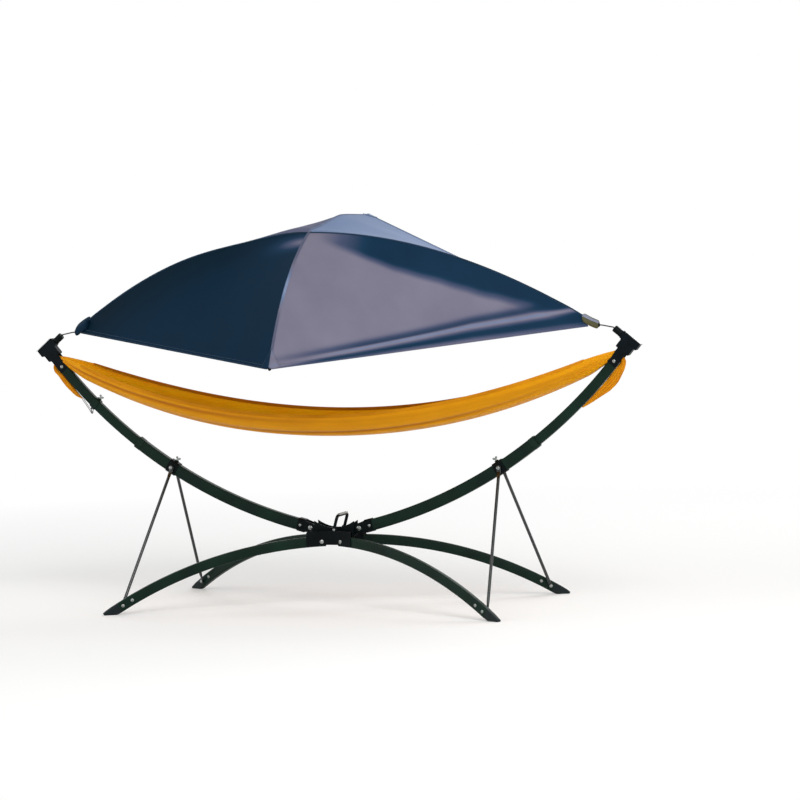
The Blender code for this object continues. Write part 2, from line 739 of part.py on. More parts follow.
def hub_plates():
    for end, sign in ENDS.items():
        turn = None if sign < 0 else Matrix.Diagonal((1, -1, 1, 1))
        outer = bent_hub_plate(OUTER_PLATE_MIDDLE_Y, -LEG_PLATE_OFFSET, OUTER_PLATE_END_X, True)
        settle(outer, f"hub_{end}_plate", DARK_IRON, mirror=turn)
        inner = bent_hub_plate(INNER_PLATE_MIDDLE_Y, LEG_PLATE_OFFSET, INNER_PLATE_END_X, False)
        for side in (1, -1):
            place = (side * CROSS_BOLT_X, -INNER_PLATE_MIDDLE_Y, CROSS_BOLT_Z)
            drill(inner, CROSS_BOLT_RADIUS + GAP, 0.01, place, (0, 1, 0))
        settle(inner, f"hub_{end}_inner_plate", DARK_IRON, mirror=turn)


def hub_pivot_pins():
    for name, side in SIDES.items():
        pin = headed_pin("pin", ARM_PIN_RADIUS, CHEEK_OUTER_Y + GAP, ARM_PIN_HEAD_RADIUS,
                         ARM_PIN_HEAD_HEIGHT, (side * ARM_PIVOT_X, 0, ARM_PIVOT_Z), (0, 1, 0))
        settle(pin, "arm_pivot_pin_" + name, ZINC)
        for end, sign in ENDS.items():
            place = (side * LEG_PIN_X, sign * LEG_PIN_Y, LEG_PIN_Z)
            axis = (-side * sign * sin(LEG_SPLAY), cos(LEG_SPLAY), 0)
            pin = headed_pin("pin", LEG_PIN_RADIUS, LEG_PLATE_OFFSET + HUB_PLATE / 2 + GAP,
                             LEG_PIN_HEAD_RADIUS, LEG_PIN_HEAD_HEIGHT, place, axis)
            settle(pin, f"leg_pivot_pin_{end}_{name}", ZINC)


def carry_handle():
    """Flat strap bail over the hub with a round grip, leaning where it came to rest."""
    half = HANDLE_HALF_SPAN
    foot = -HANDLE_STRAP_WIDTH / 2
    right = arc_points(half - HANDLE_CORNER, HANDLE_HEIGHT - HANDLE_CORNER, HANDLE_CORNER, 0, pi / 2, 4)
    path = [(half, foot)] + right + [(-y, z) for y, z in reversed(right)] + [(-half, foot)]
    shape = bmesh.new()
    edge = HANDLE_STRAP_WIDTH / 2
    near = [shape.verts.new((-edge, y, z)) for y, z in path]
    far = [shape.verts.new((edge, y, z)) for y, z in path]
    for i in range(len(path) - 1):
        shape.faces.new((near[i], near[i + 1], far[i + 1], far[i]))
    made = object_from_bmesh("carry_handle", shape, CUTTERS)
    skin = made.modifiers.new("strap", "SOLIDIFY")
    skin.thickness = HANDLE_STRAP
    skin.offset = 0.0
    skin.use_even_offset = True
    bake(made)
    grip = 2 * (half - HANDLE_GRIP_INSET)
    join(made, cylinder("grip", HANDLE_GRIP_RADIUS, grip, (0, 0, HANDLE_HEIGHT), (0, 1, 0)))
    for side in (1, -1):
        drill(made, HANDLE_PIN_RADIUS + GAP, 0.02, (0, side * half, 0), (0, 1, 0))
    lean = Matrix.Rotation(HANDLE_LEAN, 4, "Y")
    place = Vector((HANDLE_PIVOT_X, 0, HANDLE_PIVOT_Z))
    move_mesh(made, Matrix.Translation(place) @ lean)
    return settle(made, "carry_handle", DARK_IRON, make_pivot("carry_handle", place))


# Arms

def arm_end_bracket():
    """Box sleeve on the arm's foot with two cheeks that clasp the hub's eye."""
    depth = LOWER_TUBE_DEPTH + 2 * (GAP + BRACKET_WALL)
    width = LOWER_TUBE_WIDTH + 2 * (GAP + BRACKET_WALL)
    start = LOWER_TUBE_START_S - 0.002
    sleeve = arm_tube("sleeve", start, BRACKET_SLEEVE_END_S, depth, width, BRACKET_WALL,
                      nested_corner(TUBE_CORNER, GAP + BRACKET_WALL))
    edge = depth / 2 - BRACKET_WALL
    outline = arc_points(0, 0, KNUCKLE_RADIUS, pi / 2, 3 * pi / 2, 8)
    outline += [(start + 0.004, -edge), (start + 0.008, -edge), (start + 0.008, edge), (start + 0.004, edge)]
    middle = (CHEEK_INNER_Y + CHEEK_OUTER_Y) / 2
    for side in (1, -1):
        join(sleeve, plate("cheek", outline, BRACKET_WALL, arm_plate_frame(0, side * middle)))
    drill(sleeve, ARM_PIN_RADIUS + GAP, 0.1, (ARM_PIVOT_X, 0, ARM_PIVOT_Z), (0, 1, 0))
    for s in BRACKET_RIVET_S:
        join(sleeve, headed_pin("rivet", BRACKET_RIVET_RADIUS, CHEEK_OUTER_Y - GAP, BRACKET_RIVET_RADIUS * 1.7,
                                BRACKET_RIVET_HEAD_HEIGHT, arm_place(s), (0, 1, 0)))
    return sleeve


def arm_lower():
    tube = arm_tube("tube", LOWER_TUBE_START_S, LOWER_TUBE_END_S, LOWER_TUBE_DEPTH,
                    LOWER_TUBE_WIDTH, ARM_WALL)
    for s in BRACKET_RIVET_S:
        drill(tube, BRACKET_RIVET_RADIUS + HIDDEN_PLAY, 0.1, arm_place(s), (0, 1, 0), 8)
    return tube


def arm_upper():
    tube = arm_tube("tube", UPPER_TUBE_START_S, ARM_RIVET_S + UPPER_TUBE_PAST_RIVET,
                    UPPER_TUBE_DEPTH, UPPER_TUBE_WIDTH, ARM_WALL, UPPER_CORNER)
    return drill(tube, HEAD_RIVET_RADIUS + HIDDEN_PLAY, 0.1, arm_place(ARM_RIVET_S), (0, 1, 0), 8)


def arm_bush():
    """Plastic bush that fills the step between the two tubes, with a lip outside."""
    depth = LOWER_TUBE_DEPTH - 2 * (ARM_WALL + GAP)
    width = LOWER_TUBE_WIDTH - 2 * (ARM_WALL + GAP)
    wall = (depth - UPPER_TUBE_DEPTH) / 2 - GAP
    bush = arm_tube("bush", LOWER_TUBE_END_S - BUSH_DEPTH_INSIDE, LOWER_TUBE_END_S + BUSH_LIP,
                    depth, width, wall, nested_corner(TUBE_CORNER, -ARM_WALL - GAP))
    lip_depth = LOWER_TUBE_DEPTH + 2 * BUSH_LIP_OVERHANG
    lip_width = LOWER_TUBE_WIDTH + 2 * BUSH_LIP_OVERHANG
    lip_wall = (lip_depth - depth) / 2 + wall / 2
    lip = arm_tube("lip", LOWER_TUBE_END_S + GAP, LOWER_TUBE_END_S + BUSH_LIP - 0.0005, lip_depth,
                   lip_width, lip_wall, nested_corner(TUBE_CORNER, BUSH_LIP_OVERHANG))
    return join(bush, lip)


def head_bracket():
    """Cap with two cheeks riveted to the arm, which leaves a window for the cloth."""
    low, step, high = CAP_LOW_T, CAP_STEP_T, CAP_HIGH_T
    narrow, wide = CAP_LOW_HALF_DEPTH, CAP_HIGH_HALF_DEPTH
    outline = [(low, -narrow), (low, narrow), (step, narrow), (step, wide), (high, wide)]
    outline += [(high, -wide), (step, -wide), (step, -narrow)]
    frame = arm_plate_frame(ARM_RIVET_S, 0)
    cap = plate("cap", rounded(outline, CAP_FILLET, 2), 2 * HEAD_CHEEK_OUTER_Y, frame)
    cheek = [(-CHEEK_BELOW_RIVET, -CHEEK_HALF_DEPTH), (CHEEK_TOP_T, -CHEEK_HALF_DEPTH)]
    cheek += [(CHEEK_TOP_T, CHEEK_HALF_DEPTH), (-CHEEK_BELOW_RIVET, CHEEK_HALF_DEPTH)]
    middle = (HEAD_CHEEK_INNER_Y + HEAD_CHEEK_OUTER_Y) / 2
    for side in (1, -1):
        place = arm_plate_frame(ARM_RIVET_S, side * middle)
        join(cap, plate("cheek", rounded(cheek, CAP_FILLET, 2), CHEEK_WALL, place))
    return join(cap, headed_pin("rivet", HEAD_RIVET_RADIUS, HEAD_CHEEK_OUTER_Y - GAP, HEAD_RIVET_RADIUS * 1.7,
                                HEAD_RIVET_HEAD_HEIGHT, arm_place(ARM_RIVET_S), (0, 1, 0)))


def head_plate():
    start = CAP_HIGH_T + GAP
    outline = [(start, TOP_PLATE_INNER_R), (start, TOP_PLATE_OUTER_R)]
    outline += [(start + TOP_PLATE, TOP_PLATE_OUTER_R), (start + TOP_PLATE, TOP_PLATE_INNER_R)]
    return plate("top", rounded(outline, TOP_PLATE / 4, 1), 2 * TOP_PLATE_HALF_WIDTH,
                 arm_plate_frame(ARM_RIVET_S, 0))


def swivel_barrel():
    """Barrel on the cap's inner face, bored for the shade's pin."""
    bevel = BARREL_BEVEL
    bore = WIRE_RADIUS + GAP
    profile = [(0.0, bevel * 2), (bore, bevel * 2), (bore, BARREL_LENGTH)]
    profile += [(BARREL_RADIUS - bevel, BARREL_LENGTH), (BARREL_RADIUS, BARREL_LENGTH - bevel)]
    profile += [(BARREL_RADIUS, bevel), (BARREL_RADIUS - bevel, 0.0), (0.0, 0.0)]
    return turned("barrel", profile, head_place(BARREL_T, BARREL_ROOT_R), -arm_outward(ARM_RIVET_S))


def canopy_pin():
    """Bent pin out of the barrel, whose level end carries the shade."""
    axis = -arm_outward(ARM_RIVET_S)
    root = head_place(BARREL_T, BARREL_ROOT_R)
    start = root + axis * (BARREL_BEVEL * 2 + GAP)
    leave = root + axis * (BARREL_LENGTH + 0.006)
    level = Vector((0, 0, SHADE_PIVOT_Z))
    straight = level + Vector((POCKET_END_X + 0.012, 0, 0))
    corner = level + Vector((leave.x - 0.012, 0, 0))
    bend = [leave.lerp(corner, i / 5).lerp(corner.lerp(straight, i / 5), i / 5) for i in range(6)]
    end = level + Vector((POCKET_END_X - WIRE_REACH_IN_POCKET, 0, 0))
    return wire("pin", [start] + bend + [end], WIRE_RADIUS)


def tail_rings(route, taper):
    rings = []
    for i, place in enumerate(route):
        ahead = route[min(i + 1, len(route) - 1)]
        behind = route[max(i - 1, 0)]
        along = (ahead - behind).normalized()
        across = Vector((0, 1, 0))
        thick = along.cross(across).normalized()
        half_y, half_n = taper[i]
        ring = []
        for j in range(10):
            angle = 2 * pi * j / 10
            ring.append(place + across * half_y * cos(angle) + thick * half_n * sin(angle))
        rings.append(ring)
    return rings


def hammock_tail(tip_s):
    """Gathered end of the cloth, out through the window and down the arm's outer side."""
    window = arm_place(ARM_RIVET_S, 0) + arm_along(ARM_RIVET_S) * 0.035
    outward = arm_outward(ARM_RIVET_S)
    rest = UPPER_TUBE_DEPTH / 2
    route = [window + outward * 0.004, window + outward * 0.028, arm_place(ARM_RIVET_S + 0.027, 0.047)]
    route += [arm_place(ARM_RIVET_S - 0.008, 0.050)]
    start_s = ARM_RIVET_S - 0.038
    span = start_s - tip_s
    lifts = (0.020, 0.026, 0.025, 0.022, 0.016)
    for i, lift in enumerate(lifts):
        route.append(arm_place(start_s - span * i / (len(lifts) - 1), rest + lift + 0.006))
    wide, thick = TAIL_HALF_WIDTH, TAIL_HALF_THICKNESS
    taper = [(wide, 0.009), (wide, 0.009), (wide, 0.010), (wide * 1.1, 0.009)]
    taper += [(wide * 1.2, thick), (wide * 1.3, thick), (wide * 1.2, thick)]
    taper += [(wide, thick * 0.8), (wide * 0.6, thick * 0.5)]
    return loft("tail", tail_rings(route, taper))


def arms():
    tips = {"right": TAIL_TIP_S_RIGHT, "left": TAIL_TIP_S_LEFT}
    for name, side in SIDES.items():
        pivot = make_pivot("arm_" + name, (side * ARM_PIVOT_X, 0, ARM_PIVOT_Z))
        mirror = side_mirror(side)
        settle(arm_end_bracket(), "arm_end_bracket_" + name, DARK_IRON, pivot, mirror)
        settle(arm_lower(), "arm_lower_" + name, GREEN_STEEL, pivot, mirror)
        settle(arm_upper(), "arm_upper_" + name, GREEN_STEEL, pivot, mirror)
        settle(arm_bush(), "arm_bush_" + name, BLACK_PLASTIC, pivot, mirror)
        settle(head_bracket(), "head_bracket_" + name, BLACK_PLASTIC, pivot, mirror)
        settle(head_plate(), "head_plate_" + name, ZINC, pivot, mirror)
        settle(swivel_barrel(), "swivel_barrel_" + name, ZINC, pivot, mirror)
        settle(canopy_pin(), "canopy_pin_" + name, ZINC, pivot, mirror)
        settle(hammock_tail(tips[name]), "hammock_tail_" + name, ORANGE_CLOTH, pivot, mirror)


# Sliding collars and their thumb screws

def screw_boss(made, s, depth):
    """Adds a threaded boss on the collar's inner side and cuts its bore."""
    face = -(depth / 2)
    outward = arm_outward(s)
    middle = arm_place(s, face - SCREW_BOSS / 2 + 0.0005)
    join(made, cylinder("boss", SCREW_BOSS_RADIUS, SCREW_BOSS + 0.001, middle, outward))
    return drill(made, SCREW_RADIUS + GAP, SCREW_BOSS * 2 + 0.020, middle, outward)


def thumb_screw(s, tube_depth, collar_wall):
    """Screw that bears on the tube, with a stem and two wings."""
    tip = -(tube_depth / 2 + SLIDE_GAP)
    boss_face = tip - collar_wall - SCREW_BOSS
    stem_end = boss_face - GAP - SCREW_STEM
    axis = -arm_outward(s)
    origin = arm_place(s)
    profile = [(0.0, -stem_end), (SCREW_STEM_RADIUS, -stem_end), (SCREW_STEM_RADIUS, -boss_face + GAP)]
    profile += [(SCREW_RADIUS, -boss_face + GAP), (SCREW_RADIUS, -tip), (0.0, -tip)]
    screw = turned("screw", profile, origin, axis, steps=12)
    half, height = SCREW_WING_SPAN / 2, SCREW_WING_HEIGHT
    base = -stem_end - 0.002
    corners = [(base, -0.003), (base + height * 0.35, -half), (base + height, -half)]
    corners += [(base + height, -half * 0.35), (base + height * 0.55, 0.0)]
    corners += [(base + height, half * 0.35), (base + height, half), (base + height * 0.35, half)]
    corners += [(base, 0.003)]
    along = arm_along(s)
    turn = Matrix((axis, along, axis.cross(along))).transposed().to_4x4()
    wing = plate("wing", rounded(corners, 0.0012, 1), SCREW_WING, Matrix.Translation(origin) @ turn)
    return join(screw, wing)


def slide_collar():
    depth = LOWER_TUBE_DEPTH + 2 * (SLIDE_GAP + COLLAR_WALL)
    width = LOWER_TUBE_WIDTH + 2 * (SLIDE_GAP + COLLAR_WALL)
    half = COLLAR_LENGTH / 2
    collar = arm_tube("collar", COLLAR_S - half, COLLAR_S + half, depth, width, COLLAR_WALL,
                      nested_corner(TUBE_CORNER, SLIDE_GAP + COLLAR_WALL))
    for side in (1, -1):
        boss = COLLAR_BOSS + COLLAR_WALL / 2
        middle = side * (BOSS_FACE_Y - boss / 2)
        join(collar, cylinder("boss", COLLAR_BOSS_RADIUS, boss, arm_place(COLLAR_S, 0, middle), (0, 1, 0)))
        join(collar, collar_pin(side))
    return screw_boss(collar, COLLAR_S, depth)


def collar_pin(side):
    """Pin fixed in the collar's side boss, with a head outside the strut's eye."""
    start = COLLAR_SIDE_Y - COLLAR_WALL / 2
    head = COLLAR_PIN_HEAD_Y
    top = head + COLLAR_PIN_HEAD_HEIGHT
    profile = [(0.0, top), (COLLAR_PIN_HEAD_RADIUS * 0.6, top)]
    profile += [(COLLAR_PIN_HEAD_RADIUS, head + COLLAR_PIN_HEAD_HEIGHT * 0.5), (COLLAR_PIN_HEAD_RADIUS, head)]
    profile += [(COLLAR_PIN_RADIUS, head), (COLLAR_PIN_RADIUS, start), (0.0, start)]
    return turned("pin", profile, arm_place(COLLAR_S), (0, side, 0), steps=12)


def collars():
    for name, side in SIDES.items():
        mirror = side_mirror(side)
        pivot = make_pivot("collar_" + name, (side * ARC_CENTRE_X, 0, ARC_CENTRE_Z))
        settle(slide_collar(), "collar_" + name, DARK_IRON, pivot, mirror)
        place = arm_place(COLLAR_S)
        screw_pivot = make_pivot("thumb_screw_" + name, (side * place.x, 0, place.z))
        screw = thumb_screw(COLLAR_S, LOWER_TUBE_DEPTH, COLLAR_WALL)
        settle(screw, "thumb_screw_" + name, ZINC, screw_pivot, mirror)


# Tension collar of the left arm

def tension_parts():
    """Collar on the left upper tube, its screw, its ring and the two cords to the cloth's tail."""
    mirror = side_mirror(-1)
    depth = UPPER_TUBE_DEPTH + 2 * (SLIDE_GAP + TENSION_COLLAR_WALL)
    width = UPPER_TUBE_WIDTH + 2 * (SLIDE_GAP + TENSION_COLLAR_WALL)
    s, half = TENSION_COLLAR_S, TENSION_COLLAR_LENGTH / 2
    collar = arm_tube("collar", s - half, s + half, depth, width, TENSION_COLLAR_WALL,
                      nested_corner(UPPER_CORNER, SLIDE_GAP + TENSION_COLLAR_WALL))
    lug_r = depth / 2 + TENSION_LUG_HEIGHT - TENSION_LUG_RADIUS
    outline = arc_points(0, lug_r, TENSION_LUG_RADIUS, 0, pi, 6)
    outline += [(-TENSION_LUG_RADIUS, depth / 2 - 0.001), (TENSION_LUG_RADIUS, depth / 2 - 0.001)]
    join(collar, plate("lug", outline, 0.004, arm_plate_frame(s, 0)))
    ring_hole = RING_WIRE + 0.0015
    drill(collar, ring_hole, 0.02, arm_place(s, lug_r), (0, 1, 0))
    screw_boss(collar, s, depth)
    settle(collar, "tension_collar", DARK_IRON, make_pivot("tension_collar", (-ARC_CENTRE_X, 0, ARC_CENTRE_Z)),
           mirror)
    screw = thumb_screw(s, UPPER_TUBE_DEPTH, TENSION_COLLAR_WALL)
    place = arm_place(s)
    settle(screw, "thumb_screw_tension", ZINC, make_pivot("thumb_screw_tension", (-place.x, 0, place.z)),
           mirror)
    hang = arm_place(s, lug_r)
    centre = hang + Vector((0, 0, -RING_RADIUS + 0.0005))
    loop = wire_ring("ring", RING_RADIUS, RING_WIRE, 20)
    move_mesh(loop, Matrix.Translation(centre))
    settle(loop, "tension_ring", ZINC, make_pivot("tension_ring", (-hang.x, 0, hang.z)), mirror)
    settle(tension_cord(centre), "tension_cord", GREY_CORD,
           make_pivot("tension_cord", (-ARC_CENTRE_X, 0, ARC_CENTRE_Z)), mirror)


def tension_cord(ring_centre):
    """Cord doubled through the ring, both ends tied to the tail of the cloth."""
    tip = arm_place(TAIL_TIP_S_LEFT - 0.002, UPPER_TUBE_DEPTH / 2 + 0.022)
    bottom = ring_centre + Vector((0, 0, -RING_RADIUS))
    line = (tip - bottom).normalized()
    reach = (tip - bottom).length - CORD_RADIUS
    away = line.cross(Vector((0, 1, 0))).normalized()
    loop = (RING_WIRE + GAP + CORD_RADIUS) * 1.2
    strand = [(reach, 0.35), (reach * 0.75, 0.7), (reach * 0.5, 1.0), (reach * 0.28, 0.8)]
    turn = [pi / 2 + pi * i / 6 for i in range(7)]
    route = [bottom + line * run + away * loop + Vector((0, CORD_SPREAD * share / 2, 0)) for run, share in strand]
    route += [bottom + (line * cos(a) + away * sin(a)) * loop for a in turn]
    route += [bottom + line * run - away * loop - Vector((0, CORD_SPREAD * share / 2, 0))
              for run, share in reversed(strand)]
    return wire("cord", route, CORD_RADIUS, 2)


def wire_ring(name, radius, thickness, turns):
    ring = bpy.data.curves.new(name, "CURVE")
    ring.dimensions = "3D"
    ring.bevel_depth = thickness
    ring.bevel_resolution = 1
    spline = ring.splines.new("POLY")
    spline.points.add(turns - 1)
    for i, point in enumerate(spline.points):
        angle = 2 * pi * i / turns
        point.co = (0.0, radius * cos(angle), radius * sin(angle), 1.0)
    spline.use_cyclic_u = True
    return bake(make_object(name, ring, CUTTERS))


# Legs, feet and struts

def leg_tube():
    tube = bent_tube("leg", (LEG_ARC_X, LEG_ARC_Z), LEG_ARC_RADIUS, 1, leg_angle(-LEG_INBOARD),
                     leg_angle(LEG_END_P), LEG_FACET, LEG_DEPTH, LEG_WIDTH, LEG_WALL, TUBE_CORNER)
    drill(tube, LEG_PIN_RADIUS + GAP, 0.1, (0, 0, 0), (0, 1, 0))
    for p in (FOOT_RIVET_P, STRUT_PIN_P):
        drill(tube, FOOT_RIVET_RADIUS + HIDDEN_PLAY, 0.1, (p, 0, leg_height(p)), (0, 1, 0), 8)
    return tube


def foot_edges():
    """Lower and upper edge of the toe in the leg's plane, from the tube's end to the tip."""
    floor = -LEG_PIN_Z
    angle = leg_angle(LEG_END_P) + GAP / LEG_ARC_RADIUS
    share = facet_share(angle, LEG_FACET)
    ends = []
    for offset in (-LEG_DEPTH / 2, LEG_DEPTH / 2):
        reach = (LEG_ARC_RADIUS + offset) * share
        ends.append(Vector((LEG_ARC_X + reach * sin(angle), LEG_ARC_Z + reach * cos(angle))))
    flat_start = Vector((FOOT_FLAT_START_P, floor))
    flat_end = flat_start + Vector((FOOT_FLAT_LENGTH, 0))
    tip = flat_end + Vector((FOOT_TOE_REACH, FOOT_TOE_HEIGHT))
    bend = flat_start.lerp(ends[0], 0.5) - Vector((0, FOOT_TOE_HEIGHT * 0.2))
    run = FOOT_STEPS - 2
    low = [ends[0], bend] + [flat_start.lerp(flat_end, i / run) for i in range(run + 1)]
    # the upper edge leaves along the tube and steepens to the toe's slope at the tip
    along = Vector((cos(angle), -sin(angle)))
    steep = Vector((cos(FOOT_TOE_SLOPE), -sin(FOOT_TOE_SLOPE)))
    gap = tip - ends[1]
    crest = ends[1] + along * (gap.cross(steep) / along.cross(steep))
    high = []
    for i in range(FOOT_STEPS + 1):
        t = i / FOOT_STEPS
        high.append(ends[1].lerp(crest, t).lerp(crest.lerp(tip, t), t))
    return low, high


def foot_toe():
    """Solid toe that carries on the tube's section and thins to a blunt tip on the floor."""
    sections = []
    for i, (low, high) in enumerate(zip(*foot_edges())):
        width = LEG_WIDTH - FOOT_TOE_NARROWING * (i / FOOT_STEPS) ** 3
        middle, upward = (low + high) / 2, (high - low).normalized()
        depth = (high - low).length
        sections.append([(middle.x + upward.x * a, b, middle.y + upward.y * a)
                         for a, b in box_section(depth, width, min(TUBE_CORNER, depth * 0.3))])
    return loft("toe", sections)


def foot_cap(inner):
    """Moulded plug in the leg's end with a toe that is flat underneath.

    Two rivets hold it, and the longer one also carries the strut, over a spacer on the inner side.
    """
    play = LEG_WALL + GAP
    cap = bent_tube("cap", (LEG_ARC_X, LEG_ARC_Z), LEG_ARC_RADIUS, 1, leg_angle(FOOT_PLUG_START_P),
                    leg_angle(LEG_END_P + 0.008), LEG_FACET, LEG_DEPTH - 2 * play, LEG_WIDTH - 2 * play,
                    None, nested_corner(TUBE_CORNER, -play))
    join(cap, foot_toe())
    plain = LEG_WIDTH / 2 + GAP
    join(cap, headed_pin("rivet", FOOT_RIVET_RADIUS, plain, FOOT_RIVET_HEAD_RADIUS,
                         FOOT_RIVET_HEAD_HEIGHT, (FOOT_RIVET_P, 0, leg_height(FOOT_RIVET_P)), (0, 1, 0)))
    reach = FOOT_SIDE + 2 * FOOT_EYE_PLAY + STRUT_EYE
    place = Vector((STRUT_PIN_P, 0, leg_height(STRUT_PIN_P)))
    join(cap, headed_pin("rivet", FOOT_RIVET_RADIUS, (plain + reach) / 2, FOOT_RIVET_HEAD_RADIUS,
                         FOOT_RIVET_HEAD_HEIGHT, place + Vector((0, inner * (reach - plain) / 2, 0)), (0, 1, 0)))
    spacer = Vector((0, inner * (plain + STRUT_SPACER / 2), 0))
    return join(cap, cylinder("spacer", STRUT_SPACER_RADIUS, STRUT_SPACER, place + spacer, (0, 1, 0)))


def strut_ends(side_x, side_y):
    """Eye centres of a strut, at the foot and at the collar."""
    inner = inner_side(side_x, side_y)
    eye = Vector((STRUT_PIN_P, inner * STRUT_FOOT_OFFSET, leg_height(STRUT_PIN_P)))
    foot = leg_frame(side_x, side_y) @ eye
    collar = arm_place(COLLAR_S, 0, STRUT_EYE_Y)
    return foot, Vector((side_x * collar.x, side_y * collar.y, collar.z))


def strut_sections(eye, normal, other, flat, eye_radius):
    """Rings from a flattened eye's neck to the round tube."""
    line = (other - eye).normalized()
    level = (line - normal * line.dot(normal)).normalized()
    rings = []
    taper = STRUT_TAPER_LENGTH
    neck_width = eye_radius * 0.72
    neck = STRUT_EYE * 0.46
    steps = ((flat * 0.4, 0.0), (flat, 0.0), (flat + taper * 0.5, 0.5), (flat + taper, 1.0))
    round_start = eye + level * flat + line * taper
    for run, share in steps:
        if share == 0.0:
            place = eye + level * run
        else:
            place = (eye + level * flat).lerp(round_start, share)
        along = level.lerp(line, share).normalized()
        side = normal.cross(along).normalized()
        thick = along.cross(side)
        half_wide = neck_width + (STRUT_RADIUS - neck_width) * share
        half_thick = neck + (STRUT_RADIUS - neck) * share
        ring = []
        for i in range(8):
            angle = 2 * pi * i / 8
            ring.append(place + side * half_wide * cos(angle) + thick * half_thick * sin(angle))
        rings.append(ring)
    return rings


def strut(side_x, side_y):
    foot, collar = strut_ends(side_x, side_y)
    lean = Vector((0, inner_side(side_x, side_y) * cos(FOOT_EYE_LEAN), -sin(FOOT_EYE_LEAN)))
    foot_normal = (leg_frame(side_x, side_y).to_3x3() @ lean).normalized()
    collar_normal = Vector((0, 1, 0))
    lower = strut_sections(foot, foot_normal, collar, FOOT_EYE_FLAT, FOOT_EYE_RADIUS)
    upper = strut_sections(collar, collar_normal, foot, COLLAR_EYE_FLAT, COLLAR_EYE_RADIUS)
    upper = match_rings(lower[-1], [list(reversed(ring)) for ring in reversed(upper)])
    tube = loft("strut", lower + upper)
    foot_hole = FOOT_RIVET_RADIUS + FOOT_EYE_HOLE_PLAY
    for eye, normal, radius, hole in ((foot, foot_normal, FOOT_EYE_RADIUS, foot_hole),
                                      (collar, collar_normal, COLLAR_EYE_RADIUS, COLLAR_EYE_HOLE)):
        join(tube, cylinder("eye", radius, STRUT_EYE, eye, normal))
        drill(tube, hole, 0.05, eye, normal)
    return tube


def match_rings(reference, rings):
    """Turns the order of each ring's points so that they face those of the ring before."""
    count = len(reference)
    first = rings[0]

    def mismatch(shift):
        return sum((first[(i + shift) % count] - reference[i]).length for i in range(count))

    best = min(range(count), key=mismatch)
    return [[ring[(i + best) % count] for i in range(count)] for ring in rings]


def legs():
    for end, side_y in ENDS.items():
        for name, side_x in SIDES.items():
            frame = leg_frame(side_x, side_y)
            inner = inner_side(side_x, side_y)
            turn = (0, 0, frame.to_euler().z)
            pivot = make_pivot(f"leg_{end}_{name}", frame.translation, turn)
            settle(leg_tube(), f"leg_{end}_{name}", GREEN_STEEL, pivot, frame)
            settle(foot_cap(inner), f"foot_cap_{end}_{name}", GREY_PLASTIC, pivot, frame)
            foot, collar = strut_ends(side_x, side_y)
            strut_pivot = make_pivot(f"strut_{end}_{name}", foot)
            settle(strut(side_x, side_y), f"strut_{end}_{name}", BLACK_STEEL, strut_pivot)


# Sunshade, drawn level with X along it, Y to the rear and Z up from its pivot line

def shade_height(x, y):
    """Cloth over two crossed poles: straight hems, creases along the poles."""
    u, v = abs(x) / SHADE_HALF_LENGTH, abs(y) / SHADE_HALF_WIDTH
    crown, corner = SHADE_CROWN_RISE, SHADE_CORNER_RISE
    return crown * (1 - u * u) - (crown - corner) * v * v - (2 * crown - corner) * u * v


def shade_columns():
    """Places along X of the cover's rings and of the long pole's bends."""
    columns = 18
    return [SHADE_END_X * (2 * i / columns - 1) for i in range(columns + 1)]


def shade_rows(x):
    """Places along Y of the cover's points at x, and of the cross pole's bends at x = 0."""
    rows = 5
    reach = min(SHADE_HALF_WIDTH * (1 - abs(x) / SHADE_HALF_LENGTH), SHADE_CORNER_Y)
    return [reach * j / rows for j in range(-rows, rows + 1)]


def canopy_cover():
    shape = bmesh.new()
    grid = [[shape.verts.new((x, y, shade_height(x, y))) for y in shade_rows(x)] for x in shade_columns()]
    for line, following in zip(grid, grid[1:]):
        for j in range(len(line) - 1):
            shape.faces.new((line[j], following[j], following[j + 1], line[j + 1]))
    made = object_from_bmesh("cover", shape, CUTTERS)
    skin = made.modifiers.new("cloth", "SOLIDIFY")
    skin.thickness = SHADE_CLOTH
    skin.offset = -1.0
    skin.use_even_offset = True
    skin.use_quality_normals = True
    return bake(made)


def pole_height(x, y):
    """Height of a pole's centre line that nests in the crease under the cloth."""
    u, v = abs(x) / SHADE_HALF_LENGTH, abs(y) / SHADE_HALF_WIDTH
    crown, corner = SHADE_CROWN_RISE, SHADE_CORNER_RISE
    slope_x = (2 * crown * u + (2 * crown - corner) * v) / SHADE_HALF_LENGTH
    slope_y = (2 * (crown - corner) * v + (2 * crown - corner) * u) / SHADE_HALF_WIDTH
    drop = SHADE_CLOTH + POLE_GAP + POLE_RADIUS
    return shade_height(x, y) - drop * sqrt(1 + slope_x ** 2 + slope_y ** 2)


def cross_pole_height(y):
    share = 1 - (abs(y) / SHADE_HALF_WIDTH) ** 2
    return pole_height(0, y) - 2 * POLE_RADIUS * share


def long_pole():
    end = POCKET_START_X + POLE_REACH_IN_POCKET
    places = [-end] + shade_columns() + [end]
    return wire("ridge", [(x, 0, pole_height(x, 0)) for x in places], POLE_RADIUS, 2)


def cross_pole():
    end = SHADE_CORNER_Y + TIP_BORE_DEPTH * 0.7
    places = [-end] + shade_rows(0) + [end]
    return wire("cross", [(0, y, cross_pole_height(y)) for y in places], POLE_RADIUS, 2)


